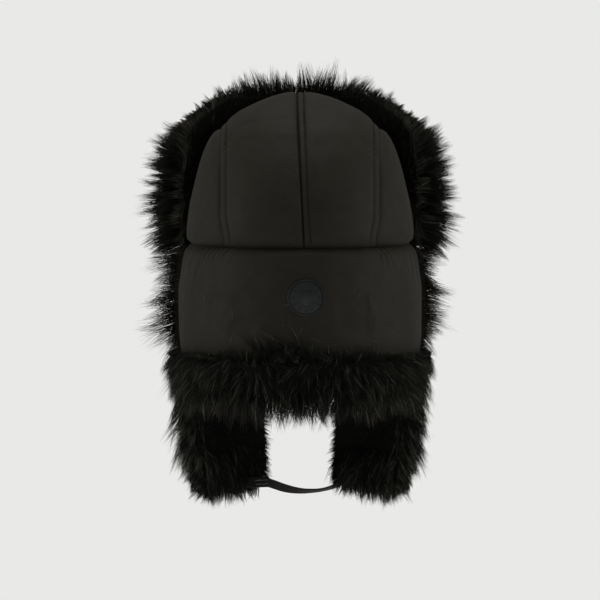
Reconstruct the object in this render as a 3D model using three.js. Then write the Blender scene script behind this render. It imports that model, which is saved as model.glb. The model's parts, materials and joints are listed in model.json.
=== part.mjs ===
// Ushanka: a padded nylon crown of four panels, a padded nylon band round the back and sides,
// a fur visor turned up in front, fur along the neck, two fur ear flaps and a flat chin strap.
// Millimetres, +Z up. The back of the hat faces -Y and the face opening faces +Y.
// The origin is the middle of the head opening, level with the lower edge of the nylon band.

import * as THREE from 'three';
import { mergeVertices } from 'three/addons/utils/BufferGeometryUtils.js';

// Driving dimensions
const bandTop = 85;              // height of the seam between band and crown
const crownHeight = 205;         // height of the crown's top
const crownThickness = 6;        // nylon, wadding and lining
const bandThickness = 7;
const pileThickness = 4;         // hide and short pile inside the flaps and the neck
const visorThickness = 4;
const seamGap = 0.3;             // clear space between two sewn pieces
const seamDip = 2.6;             // how far the crown dips at a seam below its padding
const paddingReach = 17;         // distance from a seam to full padding
const sideSeamX = 63;            // the two side seams run front to back in these planes
const centreSeamTopX = -2.4;     // the centre seam leans a little across the crown
const centreSeamBackX = 3.2;
const planPower = 2.15;          // 2 is an ellipse, more is squarer
const bandEndAngle = 104;        // degrees from the middle of the back to each end of the band
const gatherPitch = 8;           // degrees between gathers along the band's top edge
const gatherDepth = 2;
const visorFurDepth = 15;        // dense underfur below the free ends of the locks
const flapFurDepth = 13;
const neckFurDepth = 9;
const furSeat = 0.45;            // gap between a fur piece and the wall behind it
const visorFurSeat = 0.8;        // the visor's fur and board have different nets, so a little more
const mergeTolerance = 0.001;

// Crown outline by height: half the width seen from behind and half the depth seen from the side
const crownSections = [
  { z: 85, halfWidth: 86, halfDepth: 102 },
  { z: 89, halfWidth: 89.2, halfDepth: 105.6 },
  { z: 95, halfWidth: 90, halfDepth: 107 },
  { z: 104, halfWidth: 88.5, halfDepth: 106 },
  { z: 117, halfWidth: 86, halfDepth: 103.5 },
  { z: 130, halfWidth: 83.7, halfDepth: 99 },
  { z: 142, halfWidth: 81.4, halfDepth: 93.5 },
  { z: 155, halfWidth: 78.2, halfDepth: 85.5 },
  { z: 167.5, halfWidth: 72.5, halfDepth: 75 },
  { z: 174, halfWidth: 67.5, halfDepth: 69 },
  { z: 186, halfWidth: 54.5, halfDepth: 53 },
  { z: 193, halfWidth: 42, halfDepth: 41 },
  { z: 199, halfWidth: 28, halfDepth: 27 },
  { z: 203, halfWidth: 13, halfDepth: 13 },
  { z: crownHeight, halfWidth: 0, halfDepth: 0 },
];

// Outside of the band, the neck trim and the ear flaps by height
const bodySections = [
  { z: -114, halfWidth: 78, halfDepth: 86 },
  { z: -80, halfWidth: 83, halfDepth: 92 },
  { z: -50, halfWidth: 87, halfDepth: 98 },
  { z: -20, halfWidth: 91, halfDepth: 105 },
  { z: 0, halfWidth: 94.8, halfDepth: 110 },
  { z: 16, halfWidth: 96.2, halfDepth: 112 },
  { z: 47, halfWidth: 96.2, halfDepth: 112 },
  { z: 60, halfWidth: 94.8, halfDepth: 111 },
  { z: 79, halfWidth: 92.4, halfDepth: 108.5 },
  { z: 85, halfWidth: 86, halfDepth: 102 },
];

// Inner face of the visor, which leans back against the crown
const visorSections = [
  { z: 78, halfWidth: 90.9, halfDepth: 108 },
  { z: 104, halfWidth: 90.9, halfDepth: 108 },
  { z: 130, halfWidth: 89.5, halfDepth: 103 },
  { z: 155, halfWidth: 86.5, halfDepth: 93 },
  { z: 170, halfWidth: 85, halfDepth: 84 },
  { z: 200, halfWidth: 82, halfDepth: 66 },
];

// Half widths of the visor's board and of the fur on it, seen from the front
const visorOutline = [
  { z: 79, board: 66, fur: 85.5 },
  { z: 90, board: 71, fur: 87.5 },
  { z: 110, board: 72, fur: 88 },
  { z: 140, board: 70, fur: 87 },
  { z: 160, board: 62, fur: 85 },
  { z: 172, board: 52, fur: 82 },
  { z: 183, board: 38, fur: 76 },
  { z: 191, board: 26, fur: 66 },
  { z: 198, board: 20, fur: 52 },
];

// Edges of an ear flap, in degrees from the middle of the back
const flapEdges = [
  { z: -112, rear: 103, front: 153 },
  { z: -104, rear: 96, front: 160 },
  { z: -80, rear: 91, front: 161 },
  { z: -50, rear: 90, front: 160.5 },
  { z: -30, rear: 90.5, front: 154 },
  { z: -10, rear: 98, front: 146 },
  { z: 0, rear: 104.4, front: 142 },
  { z: 20, rear: 104.4, front: 138 },
  { z: 60, rear: 104.4, front: 135 },
  { z: 85, rear: 104.4, front: 134 },
];

// Middle line of the chin strap from the stitched tab to the other flap, and how far it has turned
const strapRoute = [
  { x: -26, y: 76.2, z: -110.4, turn: 0 },
  { x: -20, y: 78.3, z: -112.6, turn: 8 },
  { x: -12, y: 79.8, z: -115.4, turn: 24 },
  { x: -4, y: 80.8, z: -117.1, turn: 42 },
  { x: 4, y: 81.2, z: -117.8, turn: 56 },
  { x: 12, y: 81, z: -117.5, turn: 66 },
  { x: 20, y: 79.6, z: -116.2, turn: 72 },
  { x: 28, y: 76, z: -113.4, turn: 74 },
  { x: 33, y: 71.8, z: -110.6, turn: 60 },
  { x: 37.2, y: 68, z: -107.8, turn: 30 },
  { x: 41.4, y: 64.5, z: -105.2, turn: 0 },
];
const strapWidth = 7;
const strapThickness = 1.6;
const strapBevel = 0.5;

// Stitched tab that holds the strap, laid on the inside of the flap at -X
const tabAngles = { from: 147, to: 159.6 };
const tabHeights = { low: -114.4, high: -106 };
const tabSeat = 0.7;
const tabThickness = 2.2;

// Plain snap that fastens the strap's other end inside the flap at +X
const snapRadius = 5;
const snapThickness = 2;
const snapAngle = 148;
const snapZ = -105.5;
const snapSeat = 0.6;

// Round rubber patch on the back of the band
const patchCentre = { x: 4.7, z: 47 };
const patchSides = 24;
const patchProfile = [
  { radius: 0, height: 1.5 },
  { radius: 4.2, height: 1.5 },
  { radius: 4.8, height: 2.1 },
  { radius: 6.2, height: 2.1 },
  { radius: 6.8, height: 1.5 },
  { radius: 12.6, height: 1.5 },
  { radius: 13.1, height: 2.3 },
  { radius: 14.2, height: 2.3 },
  { radius: 14.6, height: 1.7 },
];

// Colours and surfaces
const finishes = {
  nylon: { color: 0x26241f, roughness: 0.62, metalness: 0 },
  fur: { color: 0x0b0b0c, roughness: 0.95, metalness: 0 },
  pile: { color: 0x070707, roughness: 1, metalness: 0 },
  webbing: { color: 0x121213, roughness: 0.8, metalness: 0 },
  rubber: { color: 0x1b1e20, roughness: 0.5, metalness: 0 },
  snap: { color: 0x101010, roughness: 0.4, metalness: 0.2 },
};

const rad = THREE.MathUtils.degToRad;
const point = (x, y, z) => new THREE.Vector3(x, y, z);
const lerp = THREE.MathUtils.lerp;
const clamp01 = (value) => THREE.MathUtils.clamp(value, 0, 1);

// Value of one column of a section table at height z, with straight lines between its rows.
function sectionValue(table, column, z) {
  const last = table.length - 1;
  if (z <= table[0].z) return table[0][column];
  if (z >= table[last].z) return table[last][column];
  const k = table.findIndex((row) => row.z > z);
  const below = table[k - 1];
  const above = table[k];
  return lerp(below[column], above[column], (z - below.z) / (above.z - below.z));
}

// A repeatable value from -1 to 1 for lock number i, j of a fur piece.
function vary(i, j, salt) {
  const wave = Math.sin(i * 12.9898 + j * 78.233 + salt * 37.719) * 43758.5453;
  return 2 * (wave - Math.floor(wave)) - 1;
}

// A rectangular net of points from a function of two shares, each running from 0 to 1.
function net(columns, rows, place) {
  return Array.from({ length: columns + 1 }, (_, i) =>
    Array.from({ length: rows + 1 }, (_, j) => place(i / columns, j / rows, i, j)));
}

// Collects points and faces of one closed body.
class Skin {
  constructor() {
    this.points = [];
    this.faces = [];
  }

  add(place) {
    return this.points.push(place) - 1;
  }

  addNet(places) {
    return places.map((line) => line.map((place) => this.add(place)));
  }

  tri(a, b, c) {
    this.faces.push([a, b, c]);
  }

  quad(a, b, c, d) {
    this.tri(a, b, c);
    this.tri(a, c, d);
  }

  // The net's border, in the order that its faces turn.
  static border(ids) {
    const m = ids.length - 1;
    const n = ids[0].length - 1;
    const loop = [];
    for (let i = 0; i < m; i += 1) loop.push(ids[i][0]);
    for (let j = 0; j < n; j += 1) loop.push(ids[m][j]);
    for (let i = m; i > 0; i -= 1) loop.push(ids[i][n]);
    for (let j = n; j > 0; j -= 1) loop.push(ids[0][j]);
    return loop;
  }

  eachCell(ids, visit) {
    for (let i = 0; i < ids.length - 1; i += 1) {
      for (let j = 0; j < ids[0].length - 1; j += 1) {
        visit([ids[i][j], ids[i + 1][j], ids[i + 1][j + 1], ids[i][j + 1]], i, j);
      }
    }
  }

  // Closes the front and back nets of a wall along their borders.
  rim(front, back) {
    const outer = Skin.border(front);
    const inner = Skin.border(back);
    outer.forEach((here, k) => {
      const next = (k + 1) % outer.length;
      this.quad(outer[next], here, inner[k], inner[next]);
    });
  }

  // One tapering lock on a four-sided root: a narrower middle and a single tip.
  lock(corners, root, tip, girth) {
    const centre = corners.reduce((sum, id) => sum.add(this.points[id]), point(0, 0, 0));
    centre.multiplyScalar(1 / corners.length);
    const middle = corners.map((id) =>
      this.add(this.points[id].clone().sub(centre).multiplyScalar(girth).add(centre).add(root)));
    const end = this.add(centre.clone().add(root).add(tip));
    corners.forEach((corner, k) => {
      const next = (k + 1) % corners.length;
      this.quad(corner, corners[next], middle[next], middle[k]);
      this.tri(middle[k], middle[next], end);
    });
  }

  // The closed geometry, with shared points merged and faces pointing out.
  toGeometry() {
    const loose = new THREE.BufferGeometry().setFromPoints(this.points);
    loose.setIndex(this.faces.flat());
    const merged = mergeVertices(loose, mergeTolerance);
    const ids = Array.from(merged.index.array);
    const faces = [];
    for (let k = 0; k < ids.length; k += 3) {
      const [a, b, c] = ids.slice(k, k + 3);
      if (a !== b && b !== c && c !== a) faces.push([a, b, c]);
    }
    const at = (id) => point(0, 0, 0).fromBufferAttribute(merged.attributes.position, id);
    const volume = faces.reduce((sum, [a, b, c]) => sum + at(a).dot(at(b).cross(at(c))), 0);
    const turned = volume < 0 ? faces.map(([a, b, c]) => [a, c, b]) : faces;
    merged.setIndex(turned.flat());
    merged.computeVertexNormals();
    return merged;
  }
}

// A closed wall between an outer and an inner net of the same size.
function wall(outerNet, innerNet) {
  const skin = new Skin();
  const outer = skin.addNet(outerNet);
  const inner = skin.addNet(innerNet);
  skin.eachCell(outer, ([a, b, c, d]) => skin.quad(a, b, c, d));
  skin.eachCell(inner, ([a, b, c, d]) => skin.quad(a, d, c, b));
  skin.rim(outer, inner);
  return skin.toGeometry();
}

// Sine or cosine, swelled so that an ellipse with it becomes the plan's squarer oval.
const swell = (value) => Math.sign(value) * Math.abs(value) ** (2 / planPower);

// Point on a rounded plan at an angle from the middle of the back, moved out by a distance.
function planPoint(table, angle, z, outward) {
  const halfWidth = sectionValue(table, 'halfWidth', z) + outward;
  const halfDepth = sectionValue(table, 'halfDepth', z) + outward;
  return point(halfWidth * swell(Math.sin(rad(angle))), -halfDepth * swell(Math.cos(rad(angle))), z);
}

// Direction that points straight out of a rounded wall.
function wallNormal(table, angle, z) {
  const around = planPoint(table, angle + 1, z, 0).sub(planPoint(table, angle - 1, z, 0));
  const up = planPoint(table, angle, z + 1, 0).sub(planPoint(table, angle, z - 1, 0));
  return around.cross(up).normalize();
}

// Crown

// Half width and half depth of the crown's shell at height z, set in by a distance.
function crownSize(z, inset) {
  const level = Math.min(z + inset, crownHeight);
  return {
    width: Math.max(0, sectionValue(crownSections, 'halfWidth', level) - inset),
    depth: Math.max(0, sectionValue(crownSections, 'halfDepth', level) - inset),
  };
}

// Reach of the crown along one axis of its plan, for a place along the other axis.
function planReach(reach, offset, otherReach) {
  if (Math.abs(offset) >= otherReach) return 0;
  return reach * (1 - Math.abs(offset / otherReach) ** planPower) ** (1 / planPower);
}

// Point of the crown in the plane at x, seen from the seam level under a rise angle.
function crownArchPoint(x, rise, inset) {
  let near = 0;
  let far = crownHeight;
  const at = (distance) => ({
    y: -distance * Math.cos(rise),
    z: bandTop + distance * Math.sin(rise),
  });
  for (let step = 0; step < 40; step += 1) {
    const middle = (near + far) / 2;
    const { y, z } = at(middle);
    const { width, depth } = crownSize(z, inset);
    const inside = z < crownHeight - inset && Math.abs(y) < planReach(depth, x, width);
    if (inside) near = middle;
    else far = middle;
  }
  const { y, z } = at(near);
  return point(x, y, z);
}

// Share of full padding at a distance from the nearest seam.
const padding = (distance) => Math.sqrt(1 - (1 - clamp01(distance / paddingReach)) ** 2);

const centreSeamX = (share) => lerp(centreSeamBackX, centreSeamTopX, Math.sin(Math.PI * share));
const archShares = [0, 0.022, 0.06, 0.13, 0.21, 0.29, 0.37, 0.44,
  0.5, 0.56, 0.63, 0.71, 0.79, 0.87, 0.94, 0.978, 1];
const acrossShares = [0, 0.085, 0.3, 0.7, 0.915, 1];

// One of the two centre panels: it runs from the back seam over the top to the front.
function crownCentre(side) {
  const build = (inset) => archShares.map((share) => acrossShares.map((across) => {
    const from = centreSeamX(share) + side * seamGap / 2;
    const to = side * (sideSeamX - seamGap / 2);
    const x = lerp(from, to, across);
    const seamDistance = Math.min(Math.abs(x - from), Math.abs(to - x));
    const dip = inset > 0 ? inset : seamDip * (1 - padding(seamDistance));
    return crownArchPoint(x, Math.PI * share, dip);
  }));
  return wall(build(0), build(crownThickness));
}

const sideLevels = [0, 0.045, 0.11, 0.25, 0.42, 0.6, 0.78, 0.92, 1];
const sideShares = [0, 0.05, 0.14, 0.27, 0.42, 0.58, 0.73, 0.86, 0.95, 1];

// Height at which the crown's shell, set in by a distance, narrows to the side seam's plane.
function sideSeamTop(inset) {
  let low = bandTop;
  let high = crownHeight;
  for (let step = 0; step < 40; step += 1) {
    const middle = (low + high) / 2;
    if (crownSize(middle, inset).width > sideSeamX + seamGap / 2) low = middle;
    else high = middle;
  }
  return low;
}

// One side panel, from its arched seam down to the band.
function crownSide(side) {
  const build = (inset) => sideShares.map((share) => sideLevels.map((level) => {
    const nearest = inset > 0 ? inset : seamDip;
    const z = lerp(bandTop, sideSeamTop(nearest), level);
    const edge = crownSize(z, nearest);
    const seamY = planReach(edge.depth, sideSeamX + seamGap / 2, edge.width);
    const y = seamY * -Math.cos(Math.PI * share);
    const seamDistance = Math.min(seamY - Math.abs(y), sideSeamTop(nearest) - z) * 1.6;
    const dip = inset > 0 ? inset : seamDip * (1 - padding(seamDistance));
    const size = crownSize(z, dip);
    const x = Math.max(planReach(size.width, y, size.depth), sideSeamX + seamGap / 2);
    return point(side * x, y, z);
  }));
  return wall(build(0), build(crownThickness));
}

// Band

// Depth of the gathers at a place of the band: deep at the top near the sides, none at the middle.
function gather(angle, z) {
  const heightShare = clamp01((z - 42) / (bandTop - 42)) ** 1.6;
  const sideShare = clamp01((Math.abs(angle) - 22) / 30);
  const seamShare = clamp01((bandTop - z) / 4);
  const wave = Math.cos(2 * Math.PI * (Math.abs(angle) / gatherPitch));
  return gatherDepth * heightShare * sideShare * seamShare * wave;
}

const bandColumns = 52;
const bandLevels = [bandTop - seamGap, 80.5, 72, 58, 38, 14, 0];

function neckBand() {
  const build = (outward, folded) => net(bandColumns, bandLevels.length - 1, (share, _, i, j) => {
    const angle = lerp(-bandEndAngle, bandEndAngle, share);
    const z = bandLevels[j];
    return planPoint(bodySections, angle, z, folded ? gather(angle, z) : outward);
  });
  return wall(build(0, true), build(-bandThickness, false));
}

// Walls behind the fur

const flapEdge = (side, z) => sectionValue(flapEdges, side, z);
const flapAngle = (share, z) => lerp(flapEdge('rear', z), flapEdge('front', z), share);
const flapColumns = 6;
const flapFurLevels = [80, 66, 52, 38, 25, 12, 0, -10, -20, -30, -45, -61, -77, -93, -109];
const flapLevels = [bandTop - seamGap, ...flapFurLevels, -112];

function flapLining(side) {
  const build = (outward) => net(flapColumns, flapLevels.length - 1, (share, _, i, j) => {
    const z = flapLevels[j];
    return planPoint(bodySections, side * flapAngle(share, z), z, outward);
  });
  return wall(build(0), build(-pileThickness));
}

const neckColumns = 26;
const neckLevels = [-seamGap, -10, -20, -30];
const neckSplay = 0.3;
const neckFurSplay = 1.5;

// Point of the neck trim, whose ends follow the flaps' rear edges a few tenths of a degree off.
function neckPoint(share, level, splay, outward) {
  const z = neckLevels[level];
  const end = flapEdge('rear', z) - splay;
  return planPoint(bodySections, lerp(-end, end, share), z, outward);
}

function neckLining() {
  const build = (outward) => net(neckColumns, neckLevels.length - 1, (share, _, i, j) =>
    neckPoint(share, j, neckSplay, outward));
  return wall(build(0), build(-pileThickness));
}

// Point of the visor at a share of its width, out from its inner face by a distance.
function visorPoint(share, z, outward, piece) {
  const halfWidth = sectionValue(visorSections, 'halfWidth', z);
  const reach = sectionValue(visorOutline, piece, z) / halfWidth;
  const halfAngle = THREE.MathUtils.radToDeg(Math.asin(reach ** (planPower / 2)));
  return planPoint(visorSections, 180 + lerp(halfAngle, -halfAngle, share), z, outward);
}

const visorBottom = 82;
const visorTop = 184;

function visorBoard() {
  const build = (outward) => net(14, 6, (share, up) =>
    visorPoint(share, lerp(visorBottom, visorTop, up), outward, 'board'));
  return wall(build(visorThickness), build(0));
}

// Fur

// Underfur height at a net point, as a share of its full depth: it rolls down at the border.
const rollShares = [0.1, 0.7, 0.93, 1];
function roll(i, j, columns, rows) {
  const ring = Math.min(i, columns - i, j, rows - j, rollShares.length - 1);
  return rollShares[ring];
}

// A fur piece: a smooth back, and locks on every cell of its outer side.
// place(share, level, outward) gives a point, flow(corner, share, drop) the lock beside it.
function furPiece({ columns, rows, depth, salt, place, flow }) {
  const skin = new Skin();
  const back = skin.addNet(net(columns, rows, (share, _, i, j) => place(share, j, 0)));
  const outer = skin.addNet(net(columns, rows, (share, _, i, j) =>
    place(share, j, depth * roll(i, j, columns, rows))));
  skin.eachCell(outer, (corners, i, j) => {
    const share = (i + 0.5) / columns;
    const drop = (j + 0.5) / rows;
    const seat = place(share, j, depth).lerp(place(share, j + 1, depth), 0.5);
    const { root, tip, length } = flow(seat, share, drop);
    const reach = length * (1 + 0.22 * vary(i, j, salt));
    const stray = point(vary(i, j, salt + 1), vary(i, j, salt + 2), vary(i, j, salt + 3));
    const rootStep = root.clone().normalize().multiplyScalar(reach * 0.5);
    const tipWay = tip.clone().normalize().add(stray.multiplyScalar(0.12)).normalize();
    skin.lock(corners, rootStep, tipWay.multiplyScalar(reach * 0.5), 0.7);
  });
  skin.eachCell(back, ([a, b, c, d]) => skin.quad(a, d, c, b));
  skin.rim(outer, back);
  return skin.toGeometry();
}

const visorFurRows = 10;
const visorFurBottom = 79;
const visorFurTop = 198;
const visorFurMiddleZ = 128;

function visorFur() {
  return furPiece({
    columns: 16,
    rows: visorFurRows,
    depth: visorFurDepth,
    salt: 1,
    place: (share, level, outward) => visorPoint(
      share, lerp(visorFurTop, visorFurBottom, level / visorFurRows),
      visorThickness + visorFurSeat + outward, 'fur'),
    flow: (seat, share, drop) => {
      const edge = Math.max(Math.abs(2 * share - 1) ** 2, Math.abs(2 * drop - 1) ** 3);
      const ahead = point(seat.x / 90, seat.y / 108, 0).normalize();
      const aside = point(seat.x / 84, 0, (seat.z - visorFurMiddleZ) / 72).normalize();
      const root = ahead.clone().lerp(aside, lerp(0.15, 0.75, edge));
      const tip = root.clone().lerp(aside, 0.5);
      const low = clamp01((drop - 0.72) / 0.28);
      return { root, tip, length: lerp(lerp(24, 21, Math.abs(2 * share - 1)), 18, low) };
    },
  });
}

const down = point(0, 0, -1);

function neckFur() {
  return furPiece({
    columns: neckColumns,
    rows: neckLevels.length - 1,
    depth: neckFurDepth,
    salt: 2,
    place: (share, level, outward) => neckPoint(share, level, neckFurSplay, furSeat + outward),
    flow: (seat, share, drop) => {
      const ends = Math.abs(2 * share - 1) ** 6;
      const out = point(seat.x / 95, seat.y / 110, 0).normalize();
      const root = out.clone().lerp(down, lerp(0.35, 0.72, drop));
      return { root, tip: root.clone().lerp(down, 0.45), length: lerp(lerp(15, 21, drop), 9, ends) };
    },
  });
}

const flapNotchZ = 62;
const flapFurRear = 0.7;         // degrees that the flap's fur stays clear of the band's end

function flapFur(side) {
  return furPiece({
    columns: flapColumns,
    rows: flapFurLevels.length - 1,
    depth: flapFurDepth,
    salt: 3,
    place: (share, level, outward) => {
      const z = flapFurLevels[level];
      const angle = flapAngle(share, z) + flapFurRear * (1 - share);
      return planPoint(bodySections, side * angle, z, furSeat + outward);
    },
    flow: (seat, share, drop) => {
      const out = point(seat.x / 95, seat.y / 110, 0).normalize();
      const back = point(side * out.y, -side * out.x, 0);
      const belowBand = clamp01((-34 - seat.z) / 10);
      const rearShare = clamp01(1 - 3 * share) * belowBand;
      const root = out.clone().lerp(down, lerp(0.25, 0.5, drop)).addScaledVector(back, 0.5 * rearShare);
      const tip = root.clone().lerp(down, 0.35);
      const notch = clamp01(1 - Math.abs(seat.z - flapNotchZ) / 15);
      const length = lerp(lerp(22, 25, drop), 9, notch);
      return { root, tip, length };
    },
  });
}

// Chin strap, its tab and its snap

function chinStrap() {
  const skin = new Skin();
  const flat = strapThickness / 2;
  const edge = strapWidth / 2;
  const section = [
    [-flat, -edge + strapBevel], [-flat, edge - strapBevel], [-flat + strapBevel, edge],
    [flat - strapBevel, edge], [flat, edge - strapBevel], [flat, -edge + strapBevel],
    [flat - strapBevel, -edge], [-flat + strapBevel, -edge],
  ];
  const route = new THREE.CatmullRomCurve3(strapRoute.map(({ x, y, z }) => point(x, y, z)));
  const steps = 18;
  const rings = Array.from({ length: steps + 1 }, (_, k) => {
    const share = k / steps;
    const row = share * (strapRoute.length - 1);
    const low = Math.min(Math.floor(row), strapRoute.length - 2);
    const turn = rad(lerp(strapRoute[low].turn, strapRoute[low + 1].turn, row - low));
    const along = route.getTangent(share);
    const facing = along.clone().cross(point(0, 0, 1)).normalize();
    const wide = facing.clone().cross(along).normalize();
    const across = wide.clone().applyAxisAngle(along, turn);
    const through = facing.clone().applyAxisAngle(along, turn);
    return section.map(([depth, width]) => skin.add(
      route.getPoint(share).addScaledVector(through, depth).addScaledVector(across, width)));
  });
  const sides = section.length;
  for (let k = 0; k < steps; k += 1) {
    for (let s = 0; s < sides; s += 1) {
      const next = (s + 1) % sides;
      skin.quad(rings[k][s], rings[k][next], rings[k + 1][next], rings[k + 1][s]);
    }
  }
  for (let s = 1; s < sides - 1; s += 1) {
    skin.tri(rings[0][0], rings[0][s + 1], rings[0][s]);
    skin.tri(rings[steps][0], rings[steps][s], rings[steps][s + 1]);
  }
  return skin.toGeometry();
}

function strapTab() {
  const build = (outward) => net(4, 1, (share, up) => planPoint(
    bodySections, -lerp(tabAngles.from, tabAngles.to, share),
    lerp(tabHeights.low, tabHeights.high, up), outward));
  const seat = -pileThickness - tabSeat;
  return wall(build(seat), build(seat - tabThickness));
}

function strapSnap() {
  const geometry = new THREE.CylinderGeometry(snapRadius, snapRadius, snapThickness, 16);
  const normal = wallNormal(bodySections, snapAngle, snapZ);
  const inward = -pileThickness - snapSeat - snapThickness / 2;
  const seat = planPoint(bodySections, snapAngle, snapZ, 0).addScaledVector(normal, inward);
  const turn = new THREE.Quaternion().setFromUnitVectors(point(0, 1, 0), normal);
  geometry.applyQuaternion(turn);
  geometry.translate(seat.x, seat.y, seat.z);
  geometry.deleteAttribute('normal');
  geometry.deleteAttribute('uv');
  return mergeVertices(geometry, mergeTolerance);
}

// Patch: its rings follow the band's curve
function rubberPatch() {
  const place = (radius, turn, height) => {
    const x = patchCentre.x + radius * Math.cos(turn);
    const z = patchCentre.z + radius * Math.sin(turn);
    const halfWidth = sectionValue(bodySections, 'halfWidth', z);
    const reach = Math.sign(x) * Math.abs(x / halfWidth) ** (planPower / 2);
    return planPoint(bodySections, THREE.MathUtils.radToDeg(Math.asin(reach)), z, height);
  };
  const skin = new Skin();
  const turnAt = (s) => (2 * Math.PI * s) / patchSides;
  const ring = (radius, height) => Array.from({ length: patchSides }, (_, s) =>
    skin.add(place(radius, turnAt(s), height + seamGap)));
  const top = patchProfile.map(({ radius, height }) => ring(radius, height));
  const last = patchProfile[patchProfile.length - 1];
  const rings = [...top, ring(last.radius, 0), ring(last.radius / 2, 0), ring(0, 0)];
  rings.slice(1).forEach((outer, k) => {
    const inner = rings[k];
    for (let s = 0; s < patchSides; s += 1) {
      const next = (s + 1) % patchSides;
      skin.quad(inner[s], outer[s], outer[next], inner[next]);
    }
  });
  return skin.toGeometry();
}

// Scene graph

const hat = new THREE.Group();

function addPiece(name, geometry, finish) {
  const mesh = new THREE.Mesh(geometry, new THREE.MeshStandardMaterial(finishes[finish]));
  mesh.name = name;
  hat.add(mesh);
}

const sides = { left: -1, right: 1 };

for (const [name, side] of Object.entries(sides)) {
  addPiece(`crown_centre_${name}`, crownCentre(side), 'nylon');
  addPiece(`crown_side_${name}`, crownSide(side), 'nylon');
  addPiece(`flap_lining_${name}`, flapLining(side), 'pile');
  addPiece(`flap_fur_${name}`, flapFur(side), 'fur');
}
addPiece('neck_band', neckBand(), 'nylon');
addPiece('neck_lining', neckLining(), 'pile');
addPiece('neck_fur', neckFur(), 'fur');
addPiece('visor_board', visorBoard(), 'nylon');
addPiece('visor_fur', visorFur(), 'fur');
addPiece('rubber_patch', rubberPatch(), 'rubber');
addPiece('strap_tab', strapTab(), 'webbing');
addPiece('chin_strap', chinStrap(), 'webbing');
addPiece('strap_snap', strapSnap(), 'snap');

export default hat;
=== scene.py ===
import json
import logging
import math
from dataclasses import dataclass, field
from enum import Enum
from typing import Callable, Sequence

import bpy
import numpy as np
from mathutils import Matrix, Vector, kdtree

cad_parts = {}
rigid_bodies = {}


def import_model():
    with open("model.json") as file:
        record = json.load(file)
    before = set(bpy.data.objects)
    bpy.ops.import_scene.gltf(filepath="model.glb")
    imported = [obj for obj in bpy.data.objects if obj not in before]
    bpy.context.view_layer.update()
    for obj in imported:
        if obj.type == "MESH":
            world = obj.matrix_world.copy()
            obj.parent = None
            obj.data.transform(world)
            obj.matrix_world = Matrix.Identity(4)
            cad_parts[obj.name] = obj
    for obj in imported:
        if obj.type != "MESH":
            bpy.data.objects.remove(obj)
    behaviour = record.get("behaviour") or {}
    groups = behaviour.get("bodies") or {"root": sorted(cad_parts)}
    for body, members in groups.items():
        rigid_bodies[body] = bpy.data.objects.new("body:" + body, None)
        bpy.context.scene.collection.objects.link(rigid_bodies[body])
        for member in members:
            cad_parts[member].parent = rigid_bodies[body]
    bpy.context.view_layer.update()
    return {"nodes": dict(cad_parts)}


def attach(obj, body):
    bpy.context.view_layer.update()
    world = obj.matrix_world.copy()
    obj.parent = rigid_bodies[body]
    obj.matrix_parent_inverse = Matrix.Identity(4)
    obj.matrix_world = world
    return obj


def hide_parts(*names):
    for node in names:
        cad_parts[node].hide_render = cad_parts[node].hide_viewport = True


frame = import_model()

# A padded nylon ushanka with a fur visor, a fur neck trim and fur ear flaps.
# Metres, +Z up, the back of the hat towards -Y, the face opening towards +Y.
# The tables below repeat the sections that the part's solids are worked out from.

log = logging.getLogger("ushanka")
logging.basicConfig(level=logging.INFO, format="%(name)s: %(message)s")

Array = np.ndarray
Place = Callable[[Array, Array], Array]
Row = tuple[float, float, float]
Piece = bpy.types.Object
Material = bpy.types.Material
Node = bpy.types.Node
Socket = bpy.types.NodeSocket
Tree = bpy.types.NodeTree

MM = 0.001
BODY = "root"
# Power of the plan's oval: 2 would be an ellipse
PLAN_POWER = 2.15
BAND_TOP = 85 * MM
CROWN_TOP = 205 * MM
SEAM_GAP = 0.3 * MM
# Degrees from the middle of the back to the band's ends
BAND_END_ANGLE = 104.0
SIDE_SEAM_X = 63 * MM
LINING_DEPTH = 4 * MM
# How much slimmer the flaps' underfur is at its waist, and over what distance
WAIST_SHARE = 0.34
WAIST_REACH = 27 * MM
DOWN = np.array([0.0, 0.0, -1.0])


class Side(Enum):
    """The two sides of the hat, by the sign of X."""

    LEFT = -1
    RIGHT = 1

    @property
    def word(self) -> str:
        """The side's word in node and piece names."""
        return self.name.lower()


def unit(vectors: Array) -> Array:
    """Scales each vector to length one."""
    return vectors / np.maximum(np.linalg.norm(vectors, axis=-1, keepdims=True), 1e-12)


def mix(a: Array, b: Array, share: Array) -> Array:
    """Goes from a to b by a share."""
    return a + (b - a) * share


def bump(value: Array, centre: float, width: float) -> Array:
    """Gives 1 at the centre and falls smoothly to 0 on both sides."""
    return np.exp(-((value - centre) / width) ** 2)


def rolled(inset: Array, reach: float) -> Array:
    """Rises like a quarter circle from 0 at a border to 1 at a distance in from it."""
    return np.sqrt(1 - (1 - np.clip(inset / reach, 0, 1)) ** 2)


def outwards(points: Array, flatness: float) -> Array:
    """Returns the level direction away from the head's middle at each point."""
    return unit(points * np.array([1, flatness, 0]))


def sideways(out: Array) -> Array:
    """Returns the level direction to the right of each outward one."""
    return np.stack([-out[:, 1], out[:, 0], 0 * out[:, 0]], axis=-1)


def edge_distance(share: Array, up: Array, net: tuple[float, float]) -> Array:
    """Returns the distance from the nearest border of a net of that width and height."""
    return np.minimum(np.minimum(share, 1 - share) * net[0], np.minimum(up, 1 - up) * net[1])


def travelled(line: Array) -> Array:
    """Returns the distance along a line at each of its points."""
    return np.concatenate([[0], np.cumsum(np.linalg.norm(np.diff(line, axis=0), axis=1))])


def read_line(line: Array, places: Array) -> Array:
    """Reads a line, whose rows start with X, Y and Z, at distances along it."""
    way = travelled(line[:, :3])
    return np.stack([np.interp(places, way, column) for column in line.T], axis=1)


def smoothstep(low: float, high: float, value: Array) -> Array:
    """Rises smoothly from 0 at low to 1 at high."""
    t = np.clip((value - low) / (high - low), 0, 1)
    return t * t * (3 - 2 * t)


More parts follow.
